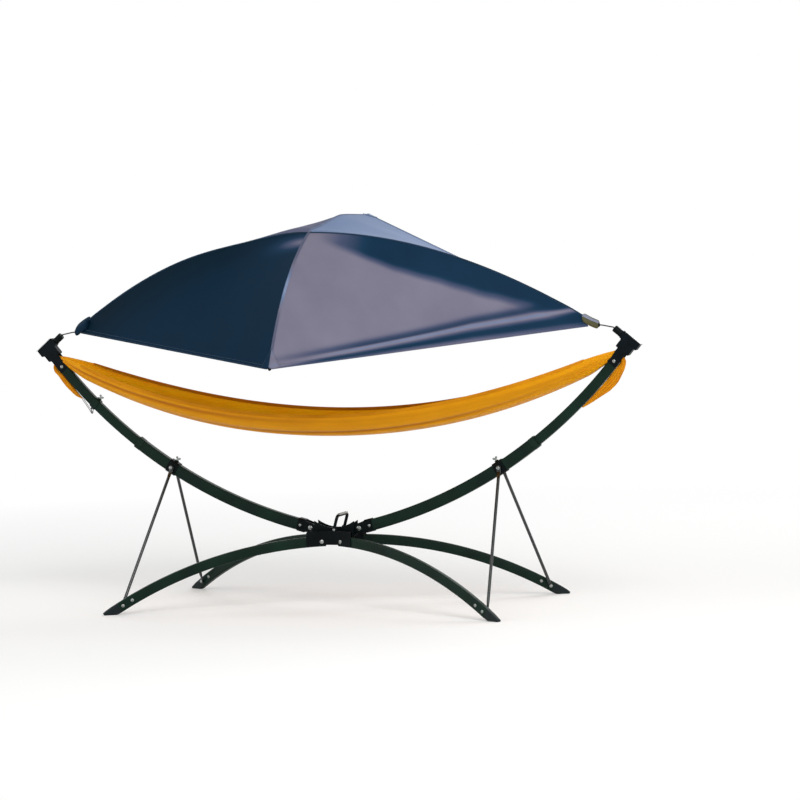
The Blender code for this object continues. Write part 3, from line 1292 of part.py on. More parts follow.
def end_pocket():
    """Webbing pocket at the shade's right end, with the pole in one mouth and the pin in the other."""
    start_z, end_z = pole_height(POCKET_START_X, 0), 0.0
    slope = atan2(end_z - start_z, POCKET_END_X - POCKET_START_X)
    half = POCKET_HALF_THICKNESS
    nx, nz = -sin(slope) * half, cos(slope) * half
    corners = [(POCKET_START_X - nx, start_z - nz), (POCKET_END_X, end_z - half)]
    corners += [(POCKET_END_X, end_z + half), (POCKET_START_X + nx, start_z + nz)]
    pocket = plate("pocket", rounded(corners, 0.003, 2), 2 * POCKET_HALF_WIDTH, level_frame(0))
    reach = POLE_REACH_IN_POCKET + 0.002
    outside = 0.012
    first = Vector((POCKET_START_X - outside, 0, pole_height(POCKET_START_X - outside, 0)))
    last = Vector((POCKET_START_X + reach, 0, pole_height(POCKET_START_X + reach, 0)))
    bore = POLE_RADIUS + 2 * GAP
    cut(pocket, cylinder("bore", bore, (last - first).length, (first + last) / 2, last - first))
    depth = WIRE_REACH_IN_POCKET + GAP
    middle = (POCKET_END_X - depth / 2 + 0.005, 0, 0)
    return drill(pocket, WIRE_RADIUS + GAP, depth + 0.010, middle, (1, 0, 0))


def corner_tip(side):
    """Cap on the cross pole's end at the corner of the cloth."""
    y = SHADE_CORNER_Y
    step = 0.010
    here = Vector((0, y, cross_pole_height(y)))
    ahead = Vector((0, y + step, cross_pole_height(y + step)))
    axis = (ahead - here).normalized()
    bore = POLE_RADIUS + 2 * GAP
    profile = [(0.0, TIP_LENGTH), (TIP_RADIUS * 0.5, TIP_LENGTH - 0.001), (TIP_RADIUS, TIP_LENGTH - 0.006)]
    profile += [(TIP_RADIUS, 0.0), (bore, 0.0), (bore, TIP_BORE_DEPTH), (0.0, TIP_BORE_DEPTH)]
    made = turned("tip", profile, here + axis * 0.002, axis)
    if side < 0:
        move_mesh(made, Matrix.Diagonal((1, -1, 1, 1)))
    return made


def sunshade():
    place = Vector((0, 0, SHADE_PIVOT_Z))
    pivot = make_pivot("canopy_tilt", place, (SHADE_TILT, 0, 0))
    frame = Matrix.Translation(place) @ Matrix.Rotation(SHADE_TILT, 4, "X")
    settle(canopy_cover(), "canopy_cover", NAVY_CLOTH, pivot, frame)
    settle(long_pole(), "canopy_pole_long", POLE_FIBRE, pivot, frame)
    settle(cross_pole(), "canopy_pole_cross", POLE_FIBRE, pivot, frame)
    for name, side in SIDES.items():
        turned_round = frame @ Matrix.Diagonal((side, 1, 1, 1))
        settle(end_pocket(), "end_pocket_" + name, OLIVE_CLOTH, pivot, turned_round)
    for end, sign in ENDS.items():
        settle(corner_tip(sign), "corner_tip_" + end, BLACK_PLASTIC, pivot, frame)


# Hammock cloth

def bed_section(x):
    """Ring of the cloth at x: its underside from hem to hem, then its upper side back."""
    reach = abs(x)
    share = min(1.0, reach / BED_ROUND_X)
    spread = max(0.0, 1 - (reach / BED_SPREAD_X) ** 2) ** 0.8
    gather = min(1.0, max(0.0, (reach - BED_SPREAD_X) / (BED_ROUND_X - BED_SPREAD_X)))
    half_width = BED_END_RADIUS + (BED_HALF_WIDTH - BED_END_RADIUS) * spread
    hem = BED_AXIS_Z - BED_HEM_SAG + BED_HEM_RISE * share ** 2
    belly = BED_AXIS_Z - BED_BELLY_SAG + BED_BELLY_RISE * share ** 2.1
    hem += (BED_AXIS_Z - hem) * gather
    drop = (hem - belly) * (1 - gather) + BED_END_RADIUS * gather
    inner_width = half_width - BED_CLOTH * 0.5 * spread ** 0.3 - 0.0004
    filled = max(gather, 1 - spread ** 0.35)
    inner_drop = (drop - BED_CLOTH) * (1 - filled) - BED_END_RADIUS * filled
    steps = 8
    angles = [-pi / 2 + pi * i / steps for i in range(steps + 1)]
    under = [Vector((x, half_width * sin(a), hem - drop * cos(a))) for a in angles]
    over = [Vector((x, inner_width * sin(a), hem + 0.0002 - inner_drop * cos(a))) for a in reversed(angles)]
    return under + over


def hammock_bed():
    stations = [BED_END_X, BED_ROUND_X, (BED_ROUND_X + BED_SPREAD_X) / 2, BED_SPREAD_X]
    stations += [BED_SPREAD_X * share for share in (0.977, 0.938, 0.885, 0.808, 0.692, 0.538, 0.362, 0.177)]
    places = [-x for x in stations] + [0.0] + list(reversed(stations))
    bed = loft("bed", [bed_section(x) for x in places])
    return settle(bed, "hammock_bed", ORANGE_CLOTH, make_pivot("bed_swing", (0, 0, BED_AXIS_Z)))


hub_core()
hub_saddle()
hub_plates()
hub_pivot_pins()
carry_handle()
arms()
collars()
tension_parts()
legs()
sunshade()
hammock_bed()
bpy.context.view_layer.update()
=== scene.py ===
import bpy
import bmesh
import json
from math import asin, atan2, copysign, cos, exp, pi, radians, sin, sqrt
from mathutils import Matrix, Vector

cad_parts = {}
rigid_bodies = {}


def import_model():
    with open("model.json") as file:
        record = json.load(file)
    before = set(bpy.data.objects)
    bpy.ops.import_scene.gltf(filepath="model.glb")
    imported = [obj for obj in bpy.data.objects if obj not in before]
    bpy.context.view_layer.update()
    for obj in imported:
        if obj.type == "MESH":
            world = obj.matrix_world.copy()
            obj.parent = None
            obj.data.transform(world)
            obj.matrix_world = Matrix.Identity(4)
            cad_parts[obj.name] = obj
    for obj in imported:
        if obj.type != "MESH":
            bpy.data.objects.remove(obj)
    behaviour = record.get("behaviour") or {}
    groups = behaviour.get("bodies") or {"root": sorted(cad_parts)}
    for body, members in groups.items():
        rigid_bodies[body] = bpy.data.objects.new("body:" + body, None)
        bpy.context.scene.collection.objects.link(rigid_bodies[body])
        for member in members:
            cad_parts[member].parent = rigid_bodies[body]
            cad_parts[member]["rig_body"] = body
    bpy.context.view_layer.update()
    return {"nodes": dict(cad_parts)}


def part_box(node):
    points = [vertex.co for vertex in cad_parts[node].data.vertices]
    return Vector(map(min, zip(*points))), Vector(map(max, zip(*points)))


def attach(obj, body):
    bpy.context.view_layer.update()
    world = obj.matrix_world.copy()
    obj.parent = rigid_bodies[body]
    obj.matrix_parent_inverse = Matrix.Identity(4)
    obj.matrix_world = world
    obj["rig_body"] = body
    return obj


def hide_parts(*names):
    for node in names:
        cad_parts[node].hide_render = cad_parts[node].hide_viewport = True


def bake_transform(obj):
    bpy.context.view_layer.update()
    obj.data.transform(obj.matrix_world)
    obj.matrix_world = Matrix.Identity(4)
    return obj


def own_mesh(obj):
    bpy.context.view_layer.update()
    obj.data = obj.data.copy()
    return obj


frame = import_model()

nodes = frame["nodes"]
sides = {"right": 1, "left": -1}
ends = {"front": -1, "rear": 1}
alongX = Vector((1, 0, 0))
alongY = Vector((0, 1, 0))
alongZ = Vector((0, 0, 1))


def linkObject(name, data):
    made = bpy.data.objects.new(name, data)
    bpy.context.scene.collection.objects.link(made)
    return made


# camera at the photograph's viewing angle, focal length in pixels of an 800 pixel frame
cameraView = {
    "place": (5.931, -14.908, 1.989), "azimuth": 20.468, "elevation": 3.741, "roll": -1.754,
    "focalPixels": 3516.878, "framePixels": 800, "sensor": 36.0, "clipEnd": 200,
}


def placeCamera(view):
    azimuth, elevation, roll = (radians(view[k]) for k in ("azimuth", "elevation", "roll"))
    ahead = Vector((-sin(azimuth) * cos(elevation), cos(azimuth) * cos(elevation), -sin(elevation)))
    level = Vector((cos(azimuth), sin(azimuth), 0))
    upright = level.cross(ahead)
    right = level * cos(roll) + upright * sin(roll)
    up = upright * cos(roll) - level * sin(roll)
    lens = bpy.data.cameras.new("photoCamera")
    lens.sensor_width = view["sensor"]
    lens.lens = view["focalPixels"] / view["framePixels"] * view["sensor"]
    lens.clip_end = view["clipEnd"]
    camera = linkObject("photoCamera", lens)
    camera.matrix_world = Matrix.Translation(view["place"]) @ Matrix((right, up, -ahead)).transposed().to_4x4()
    bpy.context.scene.camera = camera


placeCamera(cameraView)
print("camera placed")


# sizes shared with the model, in metres
stand = {
    "planeY": 0.205 * sin(radians(26.4)),
    "armPivot": (0.120, 0.356), "armSlope": radians(12.544), "armRadius": 2.255, "rivetS": 1.478,
    "legPin": (0.053, 0.056, 0.297), "footTip": (0.959, 0.514), "legRadius": 1.900, "legSlope": radians(1.0),
}
planeY = stand["planeY"]
armCentre = (stand["armPivot"][0] - stand["armRadius"] * sin(stand["armSlope"]),
             stand["armPivot"][1] + stand["armRadius"] * cos(stand["armSlope"]))
legSplay = atan2(stand["footTip"][1] - stand["legPin"][1], stand["footTip"][0] - stand["legPin"][0])
legCentre = (-stand["legRadius"] * sin(stand["legSlope"]), -stand["legRadius"] * cos(stand["legSlope"]))


def armAngle(s):
    return stand["armSlope"] + s / stand["armRadius"]


def armPoint(s, outward=0.0, y=0.0, side=1):
    angle = armAngle(s)
    reach = stand["armRadius"] + outward
    return Vector((side * (armCentre[0] + reach * sin(angle)), planeY + y, armCentre[1] - reach * cos(angle)))


def armAlong(s, side=1):
    return Vector((side * cos(armAngle(s)), 0, sin(armAngle(s))))


def armOutward(s, side=1):
    return Vector((side * sin(armAngle(s)), 0, -cos(armAngle(s))))


def headPoint(t, outward=0.0, y=0.0, side=1):
    s = stand["rivetS"]
    return armPoint(s, 0, y, side) + armAlong(s, side) * t + armOutward(s, side) * outward


def legHeight(p):
    return legCentre[1] + sqrt(stand["legRadius"] ** 2 - (p - legCentre[0]) ** 2)


def legFrame(sideX, sideY):
    pin = stand["legPin"]
    direction = atan2(sideY * sin(legSplay), sideX * cos(legSplay))
    place = Matrix.Translation((sideX * pin[0], planeY + sideY * pin[1], pin[2]))
    return place @ Matrix.Rotation(direction, 4, "Z")


def between(low, high, share):
    return low + (high - low) * share


def eased(share):
    return share * share * (3 - 2 * share)


def clamped(share):
    return min(1.0, max(0.0, share))


# materials

def linear(code):
    found = []
    for i in (1, 3, 5):
        c = int(code[i:i + 2], 16) / 255
        found.append(c / 12.92 if c <= 0.04045 else ((c + 0.055) / 1.055) ** 2.4)
    return (*found, 1.0)


def addNode(owner, kind, links=(), **settings):
    # for a material, a world or a tree; a setting is a property or, with in_ before it, an input's default
    tree = getattr(owner, "node_tree", owner)
    made = tree.nodes.new(kind)
    for name, value in settings.items():
        if name.startswith("in_"):
            made.inputs[name[3:].replace("_", " ")].default_value = value
        else:
            setattr(made, name, value)
    for source, target in links:
        tree.links.new(source, made.inputs[target])
    return made


def feed(node, name, source):
    node.id_data.links.new(source, node.inputs[name])


def newMaterial(name, **shaderValues):
    material = bpy.data.materials.new(name)
    material.use_nodes = True
    shader = material.node_tree.nodes["Principled BSDF"]
    for key, value in shaderValues.items():
        shader.inputs[key.replace("_", " ")].default_value = value
    return material, shader


def patternPlace(material, stretch=(1, 1, 1), source="Object"):
    place = addNode(material, "ShaderNodeTexCoord")
    return addNode(material, "ShaderNodeMapping", [(place.outputs[source], "Vector")],
                   in_Scale=stretch).outputs["Vector"]


def noise(material, scale, detail, stretch=(1, 1, 1), source="Object", roughness=0.5):
    place = patternPlace(material, stretch, source)
    return addNode(material, "ShaderNodeTexNoise", [(place, "Vector")], in_Scale=scale, in_Detail=detail,
                   in_Roughness=roughness).outputs["Fac"]


def colourRamp(material, fac, stops):
    ramp = addNode(material, "ShaderNodeValToRGB", [(fac, "Fac")])
    elements = ramp.color_ramp.elements
    for element, (position, code) in zip(elements, (stops[0], stops[-1])):
        element.position, element.color = position, linear(code)
    for position, code in stops[1:-1]:
        elements.new(position).color = linear(code)
    return ramp.outputs["Color"]


def twoColours(material, fac, dark, light):
    return colourRamp(material, fac, ((0.3, dark), (0.7, light)))


def mixedColour(material, factor, first, second, how="MIX"):
    # inputs 6 and 7 of the node are its two colours, and output 2 is the colour it gives
    made = addNode(material, "ShaderNodeMix", data_type="RGBA", blend_type=how)
    for target, value in (("Factor", factor), (6, first), (7, second)):
        if isinstance(value, bpy.types.NodeSocket):
            feed(made, target, value)
        else:
            made.inputs[target].default_value = value
    return made.outputs[2]


def roughRange(material, shader, fac, low, high):
    spread = addNode(material, "ShaderNodeMapRange", [(fac, "Value")], in_To_Min=low, in_To_Max=high)
    feed(shader, "Roughness", spread.outputs["Result"])


def bumpFrom(material, shader, height, strength, distance):
    bump = addNode(material, "ShaderNodeBump", [(height, "Height")], in_Strength=strength, in_Distance=distance)
    feed(shader, "Normal", bump.outputs["Normal"])


def hardFinish(name, colours, cloud, rough, grain=None, bump=None, **shaderValues):
    # one noise clouds colour and gloss, and a finer one gives the relief
    material, shader = newMaterial(name, **shaderValues)
    clouds = noise(material, **cloud)
    feed(shader, "Base Color", twoColours(material, clouds, *colours))
    roughRange(material, shader, clouds, *rough)
    if grain:
        bumpFrom(material, shader, noise(material, **grain), *bump)
    return material


# powder coat, sprayed and baked: even satin gloss with a fine orange peel, drawn 4 mm coarse to show
def powderCoatSteel(name, dark, light, roughness, gloss):
    return hardFinish(name, (dark, light), {"scale": 9.0, "detail": 4.0}, (roughness - 0.06, roughness + 0.08),
                      {"scale": 250.0, "detail": 3.0}, (0.12, 0.0006), IOR=1.5, Specular_IOR_Level=gloss)


# zinc plate on steel: grey metal with cloudy patches and fine scratches
def zincPlate(name, dark, light):
    return hardFinish(name, (dark, light), {"scale": 140.0, "detail": 4.0}, (0.22, 0.40),
                      {"scale": 300.0, "detail": 2.0, "stretch": (1, 1, 9)}, (0.15, 0.0003), Metallic=1.0)


# moulded nylon: matte skin with a fine spark-eroded grain
def mouldedNylon(name, dark, light, roughness, gloss=0.3):
    return hardFinish(name, (dark, light), {"scale": 35.0, "detail": 5.0, "roughness": 0.65},
                      (roughness - 0.08, roughness + 0.10), {"scale": 420.0, "detail": 2.0}, (0.25, 0.0004),
                      IOR=1.53, Specular_IOR_Level=gloss)


# pultruded fibreglass rod: glossy resin over straight fibres
def pultrudedRod(name, dark, light):
    return hardFinish(name, (dark, light), {"scale": 1.0, "detail": 2.0, "stretch": (3, 3, 260), "source": "UV"},
                      (0.28, 0.42), IOR=1.55)


# plain woven cloth on its own UV map in metres: two crossed thread waves, drawn at threadPitch to show
def wovenCloth(name, threadPitch, roughness, weave, specular, sheen=0.0, sheenTint="#ffffff"):
    material, shader = newMaterial(name, Sheen_Weight=sheen, Sheen_Roughness=0.45, Sheen_Tint=linear(sheenTint),
                                   Specular_IOR_Level=specular)
    place = patternPlace(material, source="UV")
    # a wave texture of scale 1 repeats every 2 pi / 20 of a unit
    scale = 2 * pi / 20 / threadPitch
    warp, weft = (addNode(material, "ShaderNodeTexWave", [(place, "Vector")], bands_direction=way,
                          in_Scale=scale).outputs["Fac"] for way in ("X", "Y"))
    crossed = addNode(material, "ShaderNodeMath", [(warp, 0), (weft, 1)], operation="MULTIPLY")
    bumpFrom(material, shader, crossed.outputs["Value"], weave, 0.0006)
    uneven = noise(material, 5.0, 4.0, source="UV")
    roughRange(material, shader, uneven, roughness - 0.07, roughness + 0.07)
    return material, shader, uneven


# ripstop nylon of the hammock: golden orange, with painted shade deeper in the folds, where the attribute fold is
# high
def hammockNylon(name, dark, light, foldShadeColour, through):
    material, shader, uneven = wovenCloth(name, 0.0030, 0.55, 0.15, 0.12)
    for key, value in (("Weight", through), ("Radius", (0.016, 0.008, 0.002)), ("Scale", 1.0)):
        shader.inputs["Subsurface " + key].default_value = value
    fold = addNode(material, "ShaderNodeAttribute", attribute_name="fold").outputs["Fac"]
    feed(shader, "Base Color", mixedColour(material, fold, twoColours(material, uneven, dark, light), linear(foldShadeColour)))
    return material


# coated polyester of the shade: dark navy where it looks away from the sky, painted sky reflection in slate where it
# catches it
def shadePolyester(name, tones):
    material, shader, uneven = wovenCloth(name, 0.0040, 0.55, 0.10, 0.04)
    glow = addNode(material, "ShaderNodeAttribute", attribute_name="glow").outputs["Fac"]
    dust = twoColours(material, uneven, "#eeeef2", "#ffffff")
    feed(shader, "Base Color", mixedColour(material, 1.0, colourRamp(material, glow, tones), dust, "MULTIPLY"))
    return material


# bias tape and hems of the same yarn in another tone
def tapeCloth(name, dark, light, sheen=0.0):
    material, shader, uneven = wovenCloth(name, 0.0030, 0.62, 0.5, 0.06, sheen, light)
    feed(shader, "Base Color", twoColours(material, uneven, dark, light))
    return material


# braided polyester cord: small crossing ribs along its length
def braidedCord(name, dark, light):
    material, shader = newMaterial(name, Sheen_Weight=0.3, Roughness=0.8)
    rib = addNode(material, "ShaderNodeTexWave", [(patternPlace(material), "Vector")],
                  bands_direction="DIAGONAL", in_Scale=120.0, in_Distortion=1.5).outputs["Fac"]
    feed(shader, "Base Color", twoColours(material, rib, dark, light))
    bumpFrom(material, shader, rib, 0.6, 0.0006)
    return material


# colours of the shade's painted sky reflection and shade, from dark navy to pale blue grey
navyToSky = ((0.0, "#071d2a"), (0.12, "#06263b"), (0.30, "#183650"), (0.50, "#4d5570"), (0.70, "#7d7a8c"),
             (0.85, "#7286a8"), (1.0, "#93a4c6"))
finish = {
    "greenCoat": powderCoatSteel("greenPowderCoat", "#071b14", "#0d281e", 0.36, 0.12),
    "darkCoat": powderCoatSteel("darkBracketCoat", "#04080a", "#0a1214", 0.40, 0.07),
    "strutCoat": powderCoatSteel("glossStrutCoat", "#0a1211", "#131d1b", 0.20, 0.60),
    "darkWire": powderCoatSteel("blackenedWire", "#1b2022", "#2b3133", 0.30, 0.5),
    "zinc": zincPlate("brightZincPlate", "#a9acab", "#dfe1df"),
    "rivetSteel": zincPlate("dulledRivetSteel", "#6d7270", "#a3a7a5"),
    "bushNylon": mouldedNylon("greenBushNylon", "#0b1f18", "#12291f", 0.45, 0.12),
    # pale sleeve colour for the painted highlight on the handle's top bar
    "sleeveHighlight": mouldedNylon("paleHighlightSleeve", "#8d908e", "#b4b7b5", 0.60, 0.25),
    "footNylon": mouldedNylon("greyFootNylon", "#10181a", "#1b2526", 0.50, 0.14),
    "headNylon": mouldedNylon("blackHeadNylon", "#04080a", "#08131a", 0.42, 0.07),
    "hammockThread": mouldedNylon("goldenThread", "#c07a10", "#e0a030", 0.7),
    "shadeThread": mouldedNylon("navyThread", "#33475f", "#4a5f7a", 0.7),
    "rod": pultrudedRod("fibreglassRod", "#20282e", "#3a444b"),
    "hammockCloth": hammockNylon("goldenHammockNylon", "#df9002", "#ec9c04", "#985402", 0.25),
    # lighter copy of the nylon for the inner side: painted light where light falls in and shines through
    "hammockInside": hammockNylon("litHammockNylon", "#f29606", "#fba80f", "#c47404", 0.60),
    "hammockHem": tapeCloth("goldenHemTape", "#c67a06", "#dd9010", 0.05),
    "shadeCloth": shadePolyester("navyShadePolyester", navyToSky),
    "shadeTape": tapeCloth("slateBiasTape", "#7d8396", "#9298a9"),
    "ridgeTape": tapeCloth("navyRidgeTape", "#0c2233", "#16344c"),
    "webbing": tapeCloth("oliveWebbing", "#4b4a33", "#6a684b"),
    "cord": braidedCord("greyBraidedCord", "#4c5050", "#7a7e7d"),
}
print("materials ready")


# making pieces

def newPiece(name, shape, material, body, replaced=(), smooth=35):
    mesh = bpy.data.meshes.new(name)
    shape.to_mesh(mesh)
    shape.free()
    mesh.materials.append(material)
    mesh.shade_smooth()
    mesh.set_sharp_from_angle(angle=radians(smooth))
    piece = linkObject(name, mesh)
    if body:
        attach(piece, body)
    if replaced:
        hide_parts(*replaced)
    return piece


def quadFace(shape, layer, corners):
    # corners are pairs of a vertex and its place on the UV map
    face = shape.faces.new([vertex for vertex, _ in corners])
    for loop, (_, uv) in zip(face.loops, corners):
        loop[layer].uv = uv


def loftRings(rings, capped=True):
    # quads through closed rings of equal count, with a UV map in metres along and round
    shape = bmesh.new()
    layer = shape.loops.layers.uv.new("clothMap")
    rows = [[shape.verts.new(place) for place in ring] for ring in rings]
    count = len(rings[0])
    maps, along = [], 0.0
    for i, ring in enumerate(rings):
        along += (Vector(ring[0]) - Vector(rings[max(i - 1, 0)][0])).length
        line = [(along, 0.0)]
        for j in range(count):
            line.append((along, line[-1][1] + (Vector(ring[(j + 1) % count]) - Vector(ring[j])).length))
        maps.append(line)
    for i in range(len(rows) - 1):
        for j in range(count):
            k = (j + 1) % count
            quadFace(shape, layer, ((rows[i][j], maps[i][j]), (rows[i][k], maps[i][j + 1]),
                                    (rows[i + 1][k], maps[i + 1][j + 1]), (rows[i + 1][j], maps[i + 1][j])))
    if capped:
        shape.faces.new(rows[0])
        shape.faces.new(rows[-1])
    bmesh.ops.recalc_face_normals(shape, faces=shape.faces)
    return shape


def clothSheet(name, grid, material, body, thickness, smooth=35, facing=1):
    # one sheet through rows of places and UVs, with its normals up or, with facing -1, down
    shape = bmesh.new()
    layer = shape.loops.layers.uv.new("clothMap")
    rows = [[(shape.verts.new(place), uv) for place, uv in row] for row in grid]
    for a, b in zip(rows, rows[1:]):
        for j in range(len(a) - 1):
            quadFace(shape, layer, (a[j], b[j], b[j + 1], a[j + 1]))
    bmesh.ops.recalc_face_normals(shape, faces=shape.faces)
    piece = newPiece(name, shape, material, body, smooth=smooth)
    if facing * sum(p.normal.z * p.area for p in piece.data.polygons) < 0:
        piece.data.flip_normals()
    skin = piece.modifiers.new("cloth", "SOLIDIFY")
    skin.thickness = thickness
    skin.offset = -1.0
    return piece


def ringAround(place, across, other, count):
    # circle or oval that two vectors span
    return [place + across * cos(2 * pi * j / count) + other * sin(2 * pi * j / count) for j in range(count)]


def pathAlong(path, i):
    return (path[min(i + 1, len(path) - 1)] - path[max(i - 1, 0)]).normalized()


def roundedBox(depth, width, corner, steps=5):
    ring = []
    for qx, qy, start in ((1, 1, 0), (-1, 1, pi / 2), (-1, -1, pi), (1, -1, 3 * pi / 2)):
        for i in range(steps + 1):
            a = start + pi / 2 * i / steps
            ring.append((qx * (depth / 2 - corner) + corner * cos(a), qy * (width / 2 - corner) + corner * sin(a)))
    return ring


def roundRod(path, radius, count=16):
    rings = []
    across = pathAlong(path, 0).orthogonal().normalized()
    for i, place in enumerate(path):
        along = pathAlong(path, i)
        across = (across - along * across.dot(along)).normalized()
        rings.append(ringAround(place, across * radius, along.cross(across) * radius, count))
    return loftRings(rings)


def smoothPath(points, steps):
    # Catmull-Rom through the points
    path = []
    padded = [points[0] * 2 - points[1]] + list(points) + [points[-1] * 2 - points[-2]]
    for a, b, c, d in zip(padded, padded[1:], padded[2:], padded[3:]):
        for i in range(steps):
            t = i / steps
            path.append(0.5 * (2 * b + (c - a) * t + (2 * a - 5 * b + 4 * c - d) * t * t
                               + (3 * b - a - 3 * c + d) * t ** 3))
    return path + [points[-1]]


def turnedShape(profile, centre, axis, count=40):
    # radius and height pairs turned round an axis
    x, y, z = Vector(axis).normalized().to_track_quat("Z", "Y").to_matrix().transposed()
    smallest = 0.00005
    return loftRings([ringAround(centre + z * height, x * max(radius, smallest), y * max(radius, smallest), count)
                      for radius, height in profile])


rounding = {"weld": 0.00002, "flatAngle": radians(1.0), "edgeAngle": 28, "segments": 2}


def softEdged(node, material, width):
    # copy of a model node with its flat faces merged and its edges rounded
    shape = bmesh.new()
    shape.from_mesh(nodes[node].data)
    bmesh.ops.remove_doubles(shape, verts=shape.verts, dist=rounding["weld"])
    bmesh.ops.dissolve_limit(shape, angle_limit=rounding["flatAngle"], verts=shape.verts, edges=shape.edges)
    piece = newPiece(node + "_dressed", shape, material, nodes[node].get("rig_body"), (node,),
                     smooth=rounding["edgeAngle"])
    bevel = piece.modifiers.new("roundedEdges", "BEVEL")
    bevel.width = width
    bevel.segments = rounding["segments"]
    bevel.limit_method = "ANGLE"
    bevel.angle_limit = radians(rounding["edgeAngle"])
    bevel.use_clamp_overlap = True
    bevel.harden_normals = True


def repaint(node, material):
    nodes[node].data.materials.clear()
    nodes[node].data.materials.append(material)


# arms and legs: rolled rectangular tube, kept at the model's section

tubes = {
    "arm_lower": {"name": "armLowerTube_", "from": 0.034, "to": 0.9535, "depth": 0.054, "width": 0.038,
                  "corner": 0.0075, "steps": 70, "finish": "greenCoat"},
    "arm_upper": {"name": "armUpperTube_", "from": 0.900, "to": 1.490, "depth": 0.045, "width": 0.029,
                  "corner": 0.0060, "steps": 46, "finish": "greenCoat"},
    "arm_bush": {"name": "armBush_", "from": 0.930, "to": 0.9600, "depth": 0.0558, "width": 0.0398,
                 "corner": 0.0082, "steps": 6, "finish": "bushNylon"},
    "leg": {"from": -0.020, "to": 0.935, "depth": 0.046, "width": 0.028, "corner": 0.0065, "steps": 64,
            "finish": "greenCoat"},
}


def sweptTube(name, size, body, node, frameAt):
    # frameAt gives the place, the direction across and the direction outward at a length
    section = roundedBox(size["depth"], size["width"], size["corner"])
    rings = []
    for i in range(size["steps"] + 1):
        place, across, up = frameAt(size["from"] + (size["to"] - size["from"]) * i / size["steps"])
        rings.append([place + up * a + across * b for a, b in section])
    newPiece(name, loftRings(rings), finish[size["finish"]], body, (node,))


def legTube(end, label):
    place = legFrame(sides[label], ends[end])
    turn = place.to_3x3()

    def frameAt(p):
        angle = asin((p - legCentre[0]) / stand["legRadius"])
        return place @ Vector((p, 0, legHeight(p))), turn @ alongY, turn @ Vector((sin(angle), 0, cos(angle)))

    node = f"leg_{end}_{label}"
    sweptTube(node + "_dressed", tubes["leg"], node, node, frameAt)


for label, side in sides.items():
    for kind in ("arm_lower", "arm_upper", "arm_bush"):
        sweptTube(tubes[kind]["name"] + label, tubes[kind], "arm_" + label, f"{kind}_{label}",
                  lambda s: (armPoint(s, 0, 0, side), alongY, armOutward(s, side)))
    for end in ends:
        legTube(end, label)
print("tubes swept")


# struts: steel rod flattened to an eye at each end

strut = {
    "radius": 0.0072, "eyeThick": 0.003, "bore": 0.0054, "edge": 0.0006, "taper": 0.045, "neckShare": 0.78,
    "footP": 0.920, "footOffset": 0.0216, "lean": radians(12.3), "collarS": 0.745, "collarY": 0.0315,
    "eyeRadius": {"foot": 0.010, "collar": 0.012}, "flat": {"foot": 0.009, "collar": 0.016}, "count": 20,
}


def strutEyes(sideX, sideY):
    inner = -sideX * sideY
    place = legFrame(sideX, sideY)
    foot = place @ Vector((strut["footP"], inner * strut["footOffset"], legHeight(strut["footP"])))
    lean = Vector((0, inner * cos(strut["lean"]), -sin(strut["lean"])))
    collar = armPoint(strut["collarS"], 0, sideY * strut["collarY"], sideX)
    return {"foot": (foot, (place.to_3x3() @ lean).normalized(), collar), "collar": (collar, alongY, foot)}


def strutEnd(kind, eye, normal, other):
    # two flat rings beside the eye, then a taper to the round rod
    line = (other - eye).normalized()
    level = (line - normal * line.dot(normal)).normalized()
    flat, neck = strut["flat"][kind], strut["eyeThick"] / 2
    narrow = strut["eyeRadius"][kind] * strut["neckShare"]
    rings = []
    for i in range(14):
        share = max(0.0, (i - 2) / 11)
        place = eye + level * flat * (0.3 + 0.35 * i if i < 2 else 1) + line * strut["taper"] * share
        along = level.lerp(line, eased(share)).normalized()
        side = normal.cross(along).normalized()
        rings.append(ringAround(place, side * between(narrow, strut["radius"], eased(share)),
                                along.cross(side) * between(neck, strut["radius"], eased(share)), strut["count"]))
    return rings


def strutRod(node, eyes):
    lower = strutEnd("foot", *eyes["foot"])
    upper = [list(reversed(ring)) for ring in reversed(strutEnd("collar", *eyes["collar"]))]
    count = strut["count"]
    shift = min(range(count), key=lambda k: sum((upper[0][(i + k) % count] - lower[-1][i]).length
                                                for i in range(count)))
    upper = [ring[shift:] + ring[:shift] for ring in upper]
    newPiece(node + "_dressed", loftRings(lower + upper), finish["strutCoat"], node, (node,))
    half, bore, edge = strut["eyeThick"] / 2, strut["bore"], strut["edge"]
    for kind, (eye, normal, _) in eyes.items():
        radius = strut["eyeRadius"][kind]
        profile = [(bore, -half), (radius - edge, -half), (radius, -half + edge), (radius, half - edge),
                   (radius - edge, half), (bore, half), (bore, -half)]
        newPiece(f"{node}_eye_{kind}", turnedShape(profile, eye, normal, 28), finish["strutCoat"], node)


for end in ends:
    for label in sides:
        strutRod(f"strut_{end}_{label}", strutEyes(sides[label], ends[end]))
print("struts made")


# brackets, plates and caps keep the model's shape with rounded edges

dressed = {
    ("darkCoat", 0.0012): "hub_core",
    ("darkCoat", 0.0010): "hub_front_plate hub_rear_plate hub_front_inner_plate hub_rear_inner_plate",
    ("darkCoat", 0.0009): "carry_handle arm_end_bracket_right arm_end_bracket_left",
    ("darkCoat", 0.0008): "hub_saddle collar_right collar_left",
    ("greenCoat", 0.0006): "tension_collar",
    ("headNylon", 0.0016): "head_bracket_right head_bracket_left",
    ("zinc", 0.0008): "head_plate_right head_plate_left",
    ("rivetSteel", 0.0004): "thumb_screw_right thumb_screw_left thumb_screw_tension",
    ("footNylon", 0.0018): "foot_cap_front_right foot_cap_front_left foot_cap_rear_right foot_cap_rear_left",
}
for (material, width), names in dressed.items():
    for node in names.split():
        softEdged(node, finish[material], width)
